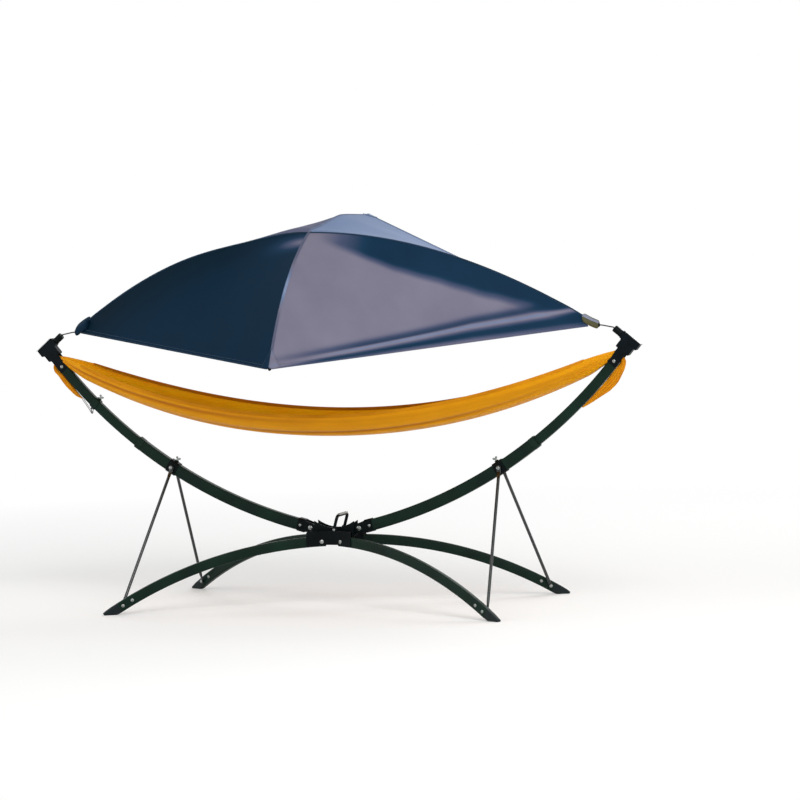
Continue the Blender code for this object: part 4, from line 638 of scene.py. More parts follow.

# pale sleeve round the handle's top bar, along y: a painted highlight on the bar's top face
highlightSleeve = {"reach": 0.047, "across": 0.011, "tall": 0.0085, "corner": 0.003, "in": 0.0052, "down": 0.0047}
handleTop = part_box("carry_handle")[1]
sleeveMiddle = Vector((handleTop[0] - highlightSleeve["in"], planeY, handleTop[2] - highlightSleeve["down"]))
sleeveSection = roundedBox(highlightSleeve["tall"], highlightSleeve["across"], highlightSleeve["corner"])
sleeveRings = [[sleeveMiddle + Vector((b, highlightSleeve["reach"] * share, a)) for a, b in sleeveSection]
             for share in (-1, -0.98, 0.98, 1)]
newPiece("handleHighlightSleeve", loftRings(sleeveRings), finish["sleeveHighlight"], nodes["carry_handle"].get("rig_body"))
print("plates dressed")


# head fittings: swivel barrel and the bent pin that carries the shade

fittings = {"barrelT": 0.114, "barrelRadius": 0.016, "barrelLength": 0.044, "capHalfDepth": 0.0485, "gap": 0.0003,
            "pinRadius": 0.003, "pinIn": 0.0064, "pinOut": 0.006, "shadePivotZ": 1.273, "pinInX": 1.269,
            "pinStraightX": 1.299, "bendSteps": 8}

for label, side in sides.items():
    arm = "arm_" + label
    axis = -armOutward(stand["rivetS"], side)
    root = headPoint(fittings["barrelT"], -fittings["capHalfDepth"] - fittings["gap"], 0, side)
    r, length = fittings["barrelRadius"], fittings["barrelLength"]
    profile = [(0.0, 0.0), (r - 0.003, 0.0), (r - 0.0006, 0.0012), (r, 0.003), (r, length * 0.30),
               (r - 0.0012, length * 0.33), (r - 0.0012, length * 0.38), (r, length * 0.41), (r, length - 0.003),
               (r - 0.0008, length - 0.0010), (r - 0.003, length), (0.0048, length), (0.0040, length - 0.001),
               (0.0034, length - 0.004), (0.0, length - 0.004)]
    newPiece("swivelBarrel_" + label, turnedShape(profile, root, axis), finish["darkCoat"], arm,
             ("swivel_barrel_" + label,))
    start, leave = root + axis * fittings["pinIn"], root + axis * (length + fittings["pinOut"])
    straight, inside = (Vector((side * fittings[k], planeY, fittings["shadePivotZ"]))
                        for k in ("pinStraightX", "pinInX"))
    path = [start, start.lerp(leave, 0.5), leave, leave.lerp(straight, 0.35)]
    for i in range(fittings["bendSteps"] + 1):
        share = i / fittings["bendSteps"]
        path.append(leave.lerp(straight, 0.7 + 0.3 * share).lerp(straight.lerp(inside, 0.5 * share), share))
    newPiece("shadePin_" + label, roundRod(path + [inside], fittings["pinRadius"], 20), finish["darkWire"], arm,
             ("canopy_pin_" + label,))
print("head fittings made")


# copies of one shape on points, for rivet heads and stitches

def startTree(name, *numbers):
    tree = bpy.data.node_groups.new(name, "GeometryNodeTree")
    inputs = [("Geometry", "Geometry")] + [(number, "Float") for number in numbers] + [("Finish", "Material")]
    for label, kind in inputs:
        tree.interface.new_socket(label, in_out="INPUT", socket_type="NodeSocket" + kind)
    tree.interface.new_socket("Geometry", in_out="OUTPUT", socket_type="NodeSocketGeometry")
    return tree, addNode(tree, "NodeGroupInput").outputs


def endTree(tree, given, points, shape, axis, scale=None):
    # a copy on each point, turned to its axis; the ones that are scaled are shaded smooth
    turn = addNode(tree, "FunctionNodeAlignRotationToVector", [(axis, "Vector")], axis="Z")
    links = [(points, "Points"), (shape, "Instance"), (turn.outputs["Rotation"], "Rotation")]
    if scale is not None:
        links.append((scale, "Scale"))
    placed = addNode(tree, "GeometryNodeInstanceOnPoints", links)
    last = addNode(tree, "GeometryNodeRealizeInstances", [(placed.outputs["Instances"], "Geometry")])
    if scale is not None:
        last = addNode(tree, "GeometryNodeSetShadeSmooth", [(last.outputs["Geometry"], "Geometry")])
    painted = addNode(tree, "GeometryNodeSetMaterial",
                      [(last.outputs["Geometry"], "Geometry"), (given["Finish"], "Material")])
    addNode(tree, "NodeGroupOutput", [(painted.outputs["Geometry"], "Geometry")])
    return tree


def headsTree():
    tree, given = startTree("domedHeads", "Dome Height")
    ball = addNode(tree, "GeometryNodeMeshUVSphere", in_Segments=28, in_Rings=12, in_Radius=1.0)
    flatten = addNode(tree, "ShaderNodeCombineXYZ", [(given["Dome Height"], "Z")], in_X=1.0, in_Y=1.0)
    dome = addNode(tree, "GeometryNodeTransform",
                   [(ball.outputs["Mesh"], "Geometry"), (flatten.outputs["Vector"], "Scale")])
    axis = addNode(tree, "GeometryNodeInputNamedAttribute", data_type="FLOAT_VECTOR", in_Name="axis")
    size = addNode(tree, "GeometryNodeInputNamedAttribute", data_type="FLOAT", in_Name="size")
    return endTree(tree, given, given["Geometry"], dome.outputs["Geometry"], axis.outputs["Attribute"],
                   size.outputs["Attribute"])


def stitchTree():
    tree, given = startTree("stitchRow", "Pitch", "Stitch Length", "Thread")
    line = addNode(tree, "GeometryNodeMeshToCurve", [(given["Geometry"], "Mesh")])
    spaced = addNode(tree, "GeometryNodeCurveToPoints", mode="LENGTH")
    feed(spaced, "Curve", line.outputs["Curve"])
    feed(spaced, "Length", given["Pitch"])
    thread = addNode(tree, "GeometryNodeMeshCylinder",
                     [(given["Thread"], "Radius"), (given["Stitch Length"], "Depth")], in_Vertices=5)
    return endTree(tree, given, spaced.outputs["Points"], thread.outputs["Mesh"], spaced.outputs["Tangent"])


def bakeTree(name, mesh, tree, values, body):
    carrier = linkObject(name + "_source", mesh)
    grow = carrier.modifiers.new("grow", "NODES")
    grow.node_group = tree
    for item in tree.interface.items_tree:
        if item.in_out == "INPUT" and item.name in values:
            grow[item.identifier] = values[item.name]
    bpy.context.view_layer.update()
    graph = bpy.context.evaluated_depsgraph_get()
    baked = bpy.data.meshes.new_from_object(carrier.evaluated_get(graph))
    baked.name = name
    bpy.data.objects.remove(carrier, do_unlink=True)
    piece = linkObject(name, baked)
    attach(piece, body)
    return piece


def pointsMesh(name, heads):
    # points that carry an axis and a size
    mesh = bpy.data.meshes.new(name)
    mesh.from_pydata([place for place, _, _ in heads], [], [])
    axis = mesh.attributes.new("axis", "FLOAT_VECTOR", "POINT")
    for item, (_, direction, _) in zip(axis.data, heads):
        item.vector = direction
    size = mesh.attributes.new("size", "FLOAT", "POINT")
    for item, (_, _, radius) in zip(size.data, heads):
        item.value = radius
    return mesh


# place along y of each head's foot, and its radius
headSizes = {
    "bracketRivet": {"s": 0.052, "y": 0.0222, "radius": 0.0072},
    "armPin": {"y": 0.0228, "radius": 0.0112},
    "legPin": {"y": 0.0181, "radius": 0.0100},
    "handlePin": {"place": (0.0144, 0.352), "y": 0.0682, "radius": 0.0064},
    "collarPin": {"s": strut["collarS"], "y": 0.0362, "radius": 0.0086},
    "footRivet": {"p": (0.877, 0.920), "y": 0.0144, "innerY": 0.0262, "radius": 0.0080},
    "headRivet": {"s": stand["rivetS"], "y": 0.0176, "radius": 0.0082},
}
domeHeight = 0.42
headsOf = {}


def addHead(body, kind, place, direction):
    headsOf.setdefault(body, []).append((Vector(place), Vector(direction).normalized(), headSizes[kind]["radius"]))


for label, side in sides.items():
    for face in (1, -1):
        out = (0, face, 0)
        for kind, body in (("bracketRivet", "arm_"), ("collarPin", "collar_"), ("headRivet", "arm_")):
            head = headSizes[kind]
            addHead(body + label, kind, armPoint(head["s"], 0, face * head["y"], side), out)
        addHead("hub", "armPin", (side * stand["armPivot"][0], planeY + face * headSizes["armPin"]["y"],
                                  stand["armPivot"][1]), out)
    for end, sideY in ends.items():
        place = legFrame(side, sideY)
        for face in (1, -1):
            out = place.to_3x3() @ Vector((0, face, 0))
            addHead("hub", "legPin", place @ Vector((0, face * headSizes["legPin"]["y"], 0)), out)
            rivet = headSizes["footRivet"]
            for p in rivet["p"]:
                # the strut's eye lies under the outer rivet's inner head
                reach = rivet["innerY" if face == -side * sideY and p == strut["footP"] else "y"]
                addHead(f"leg_{end}_{label}", "footRivet", place @ Vector((p, face * reach, legHeight(p))), out)
for sideY in ends.values():
    x, z = headSizes["handlePin"]["place"]
    addHead("hub", "handlePin", (x, planeY + sideY * headSizes["handlePin"]["y"], z), (0, sideY, 0))
domed = headsTree()
for body, heads in headsOf.items():
    bakeTree("domedHeads_" + body, pointsMesh("heads_" + body, heads), domed,
             {"Dome Height": domeHeight, "Finish": finish["rivetSteel"]}, body)
for node in nodes:
    if "pivot_pin" in node:
        repaint(node, finish["zinc"])
print("rivet heads grown")


# shade: one sheet over two crossed poles, then its tapes, hems and pockets

shade = {
    "halfLength": 1.294, "halfWidth": 0.733, "cornerRise": 0.205, "crownRise": 0.498, "tilt": radians(26.4),
    "lengthCut": 0.962, "widthCut": 0.990, "columns": 100, "rows": 76, "thickness": 0.0016, "panelSag": 0.030,
    "poleRadius": 0.0045, "poleUnderCloth": 0.0036, "longReach": 1.258, "crossReach": 0.717,
    "clothUnderCad": 0.0003, "hemWidth": 0.016, "hemInset": 0.010, "tapeWidth": 0.010, "seamWidth": 0.013,
}
shadeFrame = Matrix.Translation((0, planeY, fittings["shadePivotZ"])) @ Matrix.Rotation(shade["tilt"], 4, "X")
# the rear half of the cross pole runs straight, bends past its middle and runs straight again
rearArch = {"bend": 0.53, "first": 0.203, "second": 0.190, "softness": 0.004, "crossing": 0.08}
# the left half dips beside the middle, and slack beside the crossing lifts its rear panel a little
leftHalf = {"dip": 0.012, "dipPlace": 0.27, "dipWidth": 0.17, "slack": 0.026, "slackPlace": (0.07, 0.2)}


def bell(value, centre, width):
    return exp(-((value - centre) / width) ** 2)


def hump(value, top):
    # rises steeply to 1 at the top and falls slowly
    return value / top * exp(1 - value / top)


def shadeShares(x, y):
    return abs(x) / shade["halfLength"], abs(y) / shade["halfWidth"]


def shadeHeight(x, y):
    # the two poles' arcs with straight hems, and cloth pulled flat between them
    u, v = shadeShares(x, y)
    crown, corner = shade["crownRise"], shade["cornerRise"]
    inside = max(0.0, 1 - u - v)
    height = crown * (1 - u * u) - (crown - corner) * v * v - (2 * crown - corner) * u * v
    # u times v times inside is 1 / 27 in the middle of a panel
    height -= 27 * shade["panelSag"] * u * v * inside
    if y > 0:
        past = v - rearArch["bend"]
        drop = rearArch["first"] * v + rearArch["second"] * 0.5 * (past + sqrt(past * past + rearArch["softness"]))
        clear = 1 - exp(-(v / rearArch["crossing"]) ** 2)
        height -= (drop - (crown - corner) * v * v) * clear * inside / max(0.05, 1 - v)
    if x < 0:
        dip = leftHalf["dip"] * bell(u, leftHalf["dipPlace"], leftHalf["dipWidth"])
        height -= dip * min(1.0, 4 * u) * inside / max(0.05, 1 - u)
        if y > 0:
            topU, topV = leftHalf["slackPlace"]
            height += leftHalf["slack"] * hump(u, topU) * hump(v, topV) * inside
    return height


# on the front right panel the folds fan out from the corner: place there as a share of the width, and how far it
# moves by share of length; on the other panels one small pair runs beside the hem, each with its place and width
shadeFold = {"valley": (0.046, 0.13), "crest": (0.014, 0.11), "curl": (0.000, 0.07), "fanEnd": 0.6,
             "depth": 0.009, "crestWidth": 0.020, "valleyWidth": 0.022, "valleyShare": 0.9,
             "hemDepth": 0.0036, "hemCrest": (0.09, 0.03), "hemValley": (0.05, 0.02)}


def foldPlace(name, u):
    start, rise = shadeFold[name]
    return start + rise * min(u, shadeFold["fanEnd"])


def shadeFolds(x, y):
    u, v = shadeShares(x, y)
    edge = 1 - u - v
    span = sin(pi * min(1.0, u)) ** 0.7 if u > 0 else 0.0
    if x > 0 and y < 0:
        crest = bell(edge, foldPlace("crest", u), shadeFold["crestWidth"])
        valley = bell(edge, foldPlace("valley", u), shadeFold["valleyWidth"])
        return shadeFold["depth"] * span * (crest - shadeFold["valleyShare"] * valley)
    return shadeFold["hemDepth"] * span * (bell(edge, *shadeFold["hemCrest"]) - bell(edge, *shadeFold["hemValley"]))


def onShade(x, y, lift):
    return shadeFrame @ Vector((x, y, shadeHeight(x, y) + shadeFolds(x, y) + lift))


# painted sky reflection and shade: the share of sky that each panel catches, 0 dark navy, 0.7 grey violet, 1 pale
# blue grey
panelTone = {"rearRight": 0.84, "rearRightEnd": 0.26, "rearLeft": 0.56, "frontLeft": 0.13, "underRidge": 0.11,
             "paintedHighlight": 0.50, "frontRight": 0.70, "shadow": 0.48, "valley": 0.34, "crest": 0.82, "curl": 0.20,
             "rearSeam": 0.80, "frontSeam": 0.58, "seamHighlight": 0.40}
# the ridge throws a shadow on the front right panel: its uneven border has waves of a height, count and shift
ridgeShadow = {"wide": 0.16, "blur": 0.055, "from": 0.04, "fadeIn": 0.20, "waves": ((0.0025, 23, 0), (0.0015, 61, 1))}


def shadeGlow(x, y, front):
    u, v = shadeShares(x, y)
    edge = 1 - u - v
    # rear panels painted paler where they catch the sky, the right one more towards its end
    if not front:
        return panelTone["rearRight"] + panelTone["rearRightEnd"] * u if x > 0 else panelTone["rearLeft"]
    # front left panel: a painted highlight beside the crossing and painted shade under the ridge
    if x < 0:
        paintedHighlight = panelTone["paintedHighlight"] * bell(v, 0.11, 0.06) * bell(u, 0.0, 0.10)
        return panelTone["frontLeft"] - panelTone["underRidge"] * bell(v, 0.0, 0.16) * min(1.0, u * 3) + paintedHighlight
    # front right panel: painted shadow of the ridge, painted shade in the fold's valley and in the curl by the hem,
    # painted highlight on the crest
    border = ridgeShadow["wide"] * sin(pi * 0.97 * min(1.0, u) ** 0.65)
    border += sum(high * sin(count * u + shift) for high, count, shift in ridgeShadow["waves"])
    shadow = (clamped((border - v) / ridgeShadow["blur"] + 0.5)
              * clamped((u - ridgeShadow["from"]) / ridgeShadow["fadeIn"]))
    valley = bell(edge, foldPlace("valley", u), 0.020) * min(1.0, 0.2 + u * 3)
    crest = bell(edge, foldPlace("crest", u), 0.014) * min(1.0, u * 4)
    curl = bell(edge, foldPlace("curl", u), 0.006 + 0.035 * u) * min(1.0, u * 6)
    tone = panelTone["frontRight"] - panelTone["shadow"] * shadow - panelTone["valley"] * valley * (1 - shadow)
    tone += (panelTone["crest"] - tone) * 0.8 * crest
    return tone + (panelTone["curl"] - tone) * 0.9 * curl * (1 - crest)


def seamGlow(y):
    # the seam over the cross pole is slate, painted paler at the rear where it catches the sky, with a painted
    # highlight half way down the front
    seamGlint = panelTone["seamHighlight"] * bell(abs(y) / shade["halfWidth"], 0.50, 0.14)
    return panelTone["rearSeam"] if y > 0 else panelTone["frontSeam"] + seamGlint


def paintGlow(mesh, seam=False, paler=0.0):
    # painted sky reflection and shade, one value for each face corner, so that the panels' colours meet sharply at
    # the seams
    glow = mesh.attributes.new("glow", "FLOAT", "CORNER")
    back = shadeFrame.inverted()
    local = [back @ vertex.co for vertex in mesh.vertices]
    for face in mesh.polygons:
        middle = sum((local[i] for i in face.vertices), Vector()) / len(face.vertices)
        for corner in face.loop_indices:
            spot = local[mesh.loops[corner].vertex_index]
            across = max(1e-6, abs(spot.x)) * (1 if middle.x > 0 else -1)
            tone = seamGlow(spot.y) if seam else shadeGlow(across, spot.y, middle.y < 0)
            glow.data[corner].value = tone + paler


def shadeSheet():
    columns, rows = shade["columns"], shade["rows"]
    grid = []
    for i in range(-columns, columns + 1):
        x = shade["halfLength"] * shade["lengthCut"] * i / columns
        reach = shade["halfWidth"] * min(1 - abs(x) / shade["halfLength"], shade["widthCut"])
        grid.append([(onShade(x, reach * j / rows, -shade["clothUnderCad"]), (x, reach * j / rows))
                     for j in range(-rows, rows + 1)])
    sheet = clothSheet("shadeCloth", grid, finish["shadeCloth"], None, shade["thickness"], smooth=60)
    paintGlow(sheet.data)
    return sheet


cloth = shadeSheet()
shadeParts = []
print("shade cloth made")


def shadeStrip(name, points, width, lift, material="shadeCloth"):
    # flat ribbon along points in the shade's own frame, laid on the cloth
    section = ((-1, -0.0006), (-1, lift * 0.6), (-0.6, lift), (0, lift * 1.15), (0.6, lift), (1, lift * 0.6),
               (1, -0.0006))
    rings = []
    for i, (x, y) in enumerate(points):
        before, after = points[max(i - 1, 0)], points[min(i + 1, len(points) - 1)]
        along = Vector((after[0] - before[0], after[1] - before[1])).normalized()
        across = Vector((-along.y, along.x)) * width / 2
        ring = []
        for share, up in section:
            px, py = x + across.x * share, y + across.y * share
            limit = shade["halfWidth"] * max(0.0, 1 - abs(px) / shade["halfLength"])
            ring.append(onShade(px, max(-limit, min(limit, py)), up - shade["clothUnderCad"]))
        rings.append(ring)
    strip = newPiece(name, loftRings(rings), finish[material], "canopy")
    if material == "shadeCloth":
        paintGlow(strip.data, seam=name == "crossTape")
    shadeParts.append(strip)


def hemLine(signX, signY, inset, count=60):
    points = []
    for i in range(count + 1):
        u = shade["lengthCut"] * i / count
        v = min(1 - u, shade["widthCut"]) - inset
        if v > 0.01:
            points.append((signX * u * shade["halfLength"], signY * v * shade["halfWidth"]))
    return points


ridge = [(shade["halfLength"] * shade["lengthCut"] * i / 60, 0.0) for i in range(-60, 61)]
cross = [(0.0, shade["halfWidth"] * 0.975 * i / 40) for i in range(-40, 41)]
shadeStrip("ridgeTape", ridge, shade["tapeWidth"], 0.0012, "ridgeTape")
shadeStrip("crossTape", cross, shade["seamWidth"], 0.0018)
for label, side in sides.items():
    for end, sideY in ends.items():
        shadeStrip(f"shadeHem_{end}_{label}", hemLine(side, sideY, shade["hemInset"]), shade["hemWidth"], 0.0010)

# the patch on each corner widens by its slope down to its widest place and ends in a point again
patch = {"size": 0.072, "steps": 12, "widest": 0.026, "slope": 1.70, "tip": 0.990, "over": 0.008,
         "lift": 0.0030, "paler": 0.05}


def cornerPatch(name, signY):
    # the same cloth doubled over the cross pole's tip
    steps, widest, foot = patch["steps"], patch["widest"], patch["size"] + patch["over"]
    grid = []
    for i in range(steps + 1):
        y = shade["halfWidth"] * patch["tip"] - patch["size"] * i / steps
        below = shade["halfWidth"] - y
        half = patch["slope"] * min(below, widest * (foot - below) / (foot - widest))
        grid.append([(onShade(half * j / steps, signY * y, patch["lift"]), (half * j / steps, y))
                     for j in range(-steps, steps + 1)])
    piece = clothSheet(name, grid, finish["shadeCloth"], "canopy", shade["thickness"])
    paintGlow(piece.data, paler=patch["paler"])
    shadeParts.append(piece)


for end, sideY in ends.items():
    cornerPatch("cornerPatch_" + end, sideY)


def poleHeight(x, y):
    u, v = shadeShares(x, y)
    crown, corner = shade["crownRise"], shade["cornerRise"]
    slopeX = (2 * crown * u + (2 * crown - corner) * v) / shade["halfLength"]
    slopeY = (2 * (crown - corner) * v + (2 * crown - corner) * u) / shade["halfWidth"]
    drop = shade["poleUnderCloth"] + shade["poleRadius"]
    return shadeHeight(x, y) - drop * sqrt(1 + slopeX ** 2 + slopeY ** 2)


def crossHeight(y):
    # the cross pole passes under the long one
    return poleHeight(0, y) - 2 * shade["poleRadius"] * (1 - (abs(y) / shade["halfWidth"]) ** 2)


longRuns = [shade["longReach"] * i / 60 for i in range(-60, 61)]
crossRuns = [shade["crossReach"] * i / 40 for i in range(-40, 41)]
poles = []
for name, node, path in (("ridgePole", "canopy_pole_long", [(x, 0, poleHeight(x, 0)) for x in longRuns]),
                         ("crossPole", "canopy_pole_cross", [(0, y, crossHeight(y)) for y in crossRuns])):
    rod = roundRod([shadeFrame @ Vector(place) for place in path], shade["poleRadius"])
    poles.append(newPiece(name, rod, finish["rod"], "canopy", (node,)))

# webbing pocket at each end of the ridge, a flat sewn bag; the left one closes in a round end
pocket = {
    "right": {"from": 1.222, "to": 1.290, "halfThick": 0.0135, "halfWide": 0.026, "drop": 0.004, "mouth": 1.0,
              "cloth": "webbing", "ribbon": "shadeTape"},
    "left": {"from": 1.205, "to": 1.288, "halfThick": 0.0230, "halfWide": 0.036, "drop": -0.004, "mouth": 0.45,
             "cloth": "ridgeTape", "ribbon": "ridgeTape"},
}
ribbonSection = ((-1, -0.0006), (-1, 0.0010), (0, 0.0016), (1, 0.0010), (1, -0.0006))
ferruleProfile = [(0.0, -0.010), (0.0086, -0.010), (0.0096, -0.002), (0.0086, 0.003), (0.0040, 0.005), (0.0, 0.005)]


def squarish(value):
    return copysign(abs(value) ** 0.62, value)


def endPocket(label, side):
    bag = pocket[label]
    rings, ribbon = [], []
    steps, count = 16, 24
    for i in range(steps + 1):
        share = i / steps
        x = between(bag["from"], bag["to"], share)
        z = poleHeight(bag["from"], 0) * (1 - share) - bag["drop"] * sin(pi * share)
        full = sqrt(max(0.0, 1 - (2 * share - 1) ** 8))
        closing = 1 - (1 - bag["mouth"]) * max(0.0, (share - 0.65) / 0.35) ** 2.4
        thick = bag["halfThick"] * (0.62 + 0.38 * full) * closing
        wide = bag["halfWide"] * (0.60 + 0.40 * full) * closing
        band = 0.008 + 0.004 * (1 - share)
        turns = [2 * pi * j / count for j in range(count)]
        rings.append([shadeFrame @ Vector((side * x, wide * squarish(cos(a)), z + thick * squarish(sin(a))))
                      for a in turns])
        ribbon.append([shadeFrame @ Vector((side * x, band * a, z + thick + b)) for a, b in ribbonSection])
    shadeParts.append(newPiece("endPocket_" + label, loftRings(rings), finish[bag["cloth"]], "canopy",
                               ("end_pocket_" + label,), smooth=50))
    shadeParts.append(newPiece("endRibbon_" + label, loftRings(ribbon), finish[bag["ribbon"]], "canopy", smooth=50))
    # rubber ferrule in the mouth, round the wire
    ferrule = turnedShape(ferruleProfile, shadeFrame @ Vector((side * bag["to"], 0, 0)), (side, 0, 0))
    shadeParts.append(newPiece("endFerrule_" + label, ferrule, finish["headNylon"], "canopy"))


for label, side in sides.items():
    endPocket(label, side)
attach(cloth, "canopy")
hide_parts("canopy_cover")
print("shade dressed")


# stitches: short threads along a line; real ones are 3 mm long, drawn 7 mm so that they show
stitches = stitchTree()
stitchSize = {"Pitch": 0.010, "Stitch Length": 0.0066, "Thread": 0.0007}


def stitchRow(name, lines, thread, body):
    mesh = bpy.data.meshes.new(name)
    points, edges = [], []
    for line in lines:
        first = len(points)
        points += [tuple(p) for p in line]
        edges += [(first + i, first + i + 1) for i in range(len(line) - 1)]
    mesh.from_pydata(points, edges, [])
    return bakeTree(name, mesh, stitches, dict(stitchSize, Finish=finish[thread]), body)


shadeLines = [[onShade(x, y, 0.0014) for x, y in hemLine(signX, signY, inset)]
              for signX in (1, -1) for signY in (1, -1) for inset in (0.004, 0.018)]
for offset in (-0.004, 0.004):
    shadeLines.append([onShade(x, offset, 0.0018) for x, _ in ridge])
    shadeLines.append([onShade(offset, y, 0.0024) for _, y in cross])
# two slanted rows on each corner patch
slant = {"below": 0.076, "reach": 0.042, "rise": 0.050, "lift": 0.0054, "steps": 12}
for sideY in ends.values():
    for signX in (1, -1):
        runs = [i / slant["steps"] for i in range(slant["steps"] + 1)]
        start = shade["halfWidth"] - slant["below"]
        shadeLines.append([onShade(signX * slant["reach"] * run, sideY * (start + slant["rise"] * run), slant["lift"])
                           for run in runs])
shadeStitches = stitchRow("shadeStitches", shadeLines, "shadeThread", "canopy")
print("shade stitched")


# hammock: one sheet, gathered at both ends, with long folds

bed = {
    "endX": 1.3851, "fanX": 1.235, "spreadX": 1.345, "halfWidth": 0.240, "endHalf": 0.020, "hemZ": 0.892,
    "hemRise": 0.273, "bellyZ": 0.778, "bellyRise": 0.318, "columns": 110, "rows": 130, "inset": 0.0016,
    "thickness": 0.0014, "windowT": 0.035, "windowAlong": 0.021, "windowAcross": 0.0125,
}
# each fold: place across from -1 to 1, width, depth in metres, where along x it is strongest and how far it runs;
# they drift across by a slow wave, and pleats deepen from a share of the length on, where the ends are gathered
bedDrift = {"inward": 0.10, "wave": 0.03, "from": 0.55, "pleat": 0.0050}
bedFolds = [
    (-0.80, 0.060, 0.007, -0.70, 0.60), (-0.60, 0.050, -0.008, -0.45, 0.60), (-0.44, 0.070, 0.007, 0.10, 0.50),
    (-0.30, 0.055, -0.009, 0.60, 0.55), (-0.12, 0.060, 0.007, -0.60, 0.50), (0.06, 0.060, -0.008, 0.75, 0.55),
    (0.22, 0.060, 0.007, 0.35, 0.50), (0.42, 0.070, -0.008, -0.65, 0.60), (0.62, 0.055, 0.007, 0.60, 0.60),
    (0.82, 0.060, -0.006, -0.70, 0.60),
]


def bedFold(x, across):
    share = min(1.0, abs(x) / bed["endX"])
    total = 0.0
    for centre, width, depth, strong, run in bedFolds:
        drift = centre * (1 - bedDrift["inward"] * share) + bedDrift["wave"] * sin(2.2 * x + centre * 9)
        total += depth * bell(across, drift, width) * (0.15 + 0.85 * bell(x / bed["endX"], strong, run))
    pleat = bedDrift["pleat"] * max(0.0, share - bedDrift["from"]) / (1 - bedDrift["from"])
    return total + pleat * sin(across * 17 + 1.3 * sin(across * 5 + 1.0)) * (1 - 0.4 * share)


def troughPoint(x, across):
    share = min(1.0, abs(x) / bed["spreadX"])
    half = between(bed["endHalf"], bed["halfWidth"], max(0.0, 1 - share ** 2) ** 0.75)
    hem = bed["hemZ"] + bed["hemRise"] * share ** 2
    belly = bed["bellyZ"] + bed["bellyRise"] * share ** 2.1
    turn = across * pi / 2
    fold = bedFold(x, across)
    inset = min(bed["inset"] + max(0.0, fold), (hem - belly) * 0.7, half * 0.7)
    y = (half - inset) * sin(turn)
    z = hem - (hem - belly - inset) * cos(turn) - max(0.0, -fold) * 0.25
    return Vector((x, planeY + y, z)), fold


def bedPoint(x, across):
    # a trough that fans together into an oval bundle in the bracket's window
    side = 1 if x > 0 else -1
    point, fold = troughPoint(side * min(abs(x), bed["spreadX"]), across)
    if abs(x) <= bed["fanX"]:
        return point, fold
    t = (abs(x) - bed["fanX"]) / (bed["endX"] - bed["fanX"])
    share = eased(min(1.0, t / 0.85))
    turn = across * pi / 2 * (1 + share)
    ripple = sin(across * 21)
    pleat = 1 + 0.10 * ripple
    centre = headPoint(bed["windowT"], -0.030 * (1 - t), 0, side)
    oval = (centre - armAlong(stand["rivetS"], side) * bed["windowAlong"] * pleat * cos(turn)
            + alongY * (bed["windowAcross"] * pleat * 0.9 * sin(turn)))
    # the second value is the fold depth, which paints shade in the folds and the gathers' ripples
    return point.lerp(oval, share), fold * (1 - share) + 0.004 * share * ripple


# painted shade in folds and pleats, kept as the attribute fold
def paintFold(mesh, values):
    fold = mesh.attributes.new("fold", "FLOAT", "POINT")
    for item, value in zip(fold.data, values):
        item.value = clamped(value)


def bedSheet():
    columns, rows = bed["columns"], bed["rows"]
    grid, depths = [], []
    for i in range(-columns, columns + 1):
        x = bed["endX"] * i / columns
        line = []
        for j in range(rows + 1):
            across = (2 * j / rows - 1) * (0.985 if abs(x) > bed["fanX"] else 1.0)
            point, fold = bedPoint(x, across)
            line.append((point, (x, across * 0.5)))
            depths.append(fold)
        grid.append(line)
    # the lower side is the outside, fold depths become painted shade, and the lit inner side has its own lighter
    # finish, painted light
    sheet = clothSheet("hammockCloth", grid, finish["hammockCloth"], None, bed["thickness"], smooth=80, facing=-1)
    paintFold(sheet.data, [0.10 + depth / 0.010 for depth in depths])
    sheet.data.materials.append(finish["hammockInside"])
    sheet.modifiers["cloth"].material_offset = 1
    return sheet


def bedHem(name, sign):
    # rolled hem tape along one long edge
    section = ((0.0, -0.0022), (0.0, 0.0012), (0.35, 0.0016), (1.0, 0.0012), (1.0, -0.0022))
    rings = []
    steps = 120
    for i in range(-steps, steps + 1):
        x = bed["fanX"] * i / steps
        edge, inner = bedPoint(x, sign)[0], bedPoint(x, sign * 0.965)[0]
        down = (inner - edge).normalized() * min(0.014, 0.004 + 0.05 * (bed["spreadX"] - abs(x)))
        rings.append([edge + down * a + Vector((0, sign * b, 0.0012 * (1 - a))) for a, b in section])
    return newPiece(name, loftRings(rings), finish["hammockHem"], "bed", smooth=60)


hammock = bedSheet()
hems = [bedHem("hammockHem_" + end, sideY) for end, sideY in ends.items()]
hemLines = [[bedPoint(bed["fanX"] * 0.99 * i / 100, sign * 0.958)[0] + alongY * (sign * 0.0016)
             for i in range(-100, 101)] for sign in (1, -1)]
bedStitches = stitchRow("hammockStitches", hemLines, "hammockThread", "bed")
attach(hammock, "bed")
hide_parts("hammock_bed")
print("hammock cloth made")


# gathered tails of the cloth, out through each bracket's window

tail = {
    "wide": 0.0115, "widths": (1, 1, 1, 1.1, 1.2, 1.2, 1, 0.8, 0.4), "count": 48, "pleats": 5, "steps": 8,
    "fromS": 1.462, "bend": ((1.513, 0.004), (1.505, 0.029), (1.487, 0.0390)),
    "right": {"tip": 1.222, "gap": (0.001, 0.001),
              "fullness": (0.010, 0.011, 0.0140, 0.019, 0.0245, 0.0225, 0.016, 0.010, 0.003)},
    "left": {"tip": 1.304, "gap": (0.001, 0.006),
             "fullness": (0.010, 0.010, 0.0115, 0.0125, 0.0135, 0.0135, 0.012, 0.010, 0.003)},
}


def tailPlace(label, side, k):
    # k-th point of the tail's middle line: through the bend first, then along the arm to the tip
    own, bends = tail[label], tail["bend"]
    if k < len(bends):
        s, out = bends[k]
        return headPoint(s - stand["rivetS"], out, 0, side)
    share = (k - len(bends)) / (len(own["fullness"]) - 1 - len(bends))
    out = tubes["arm_upper"]["depth"] / 2 + between(*own["gap"], share) + own["fullness"][k]
    return armPoint(between(tail["fromS"], own["tip"], share), out, 0, side)


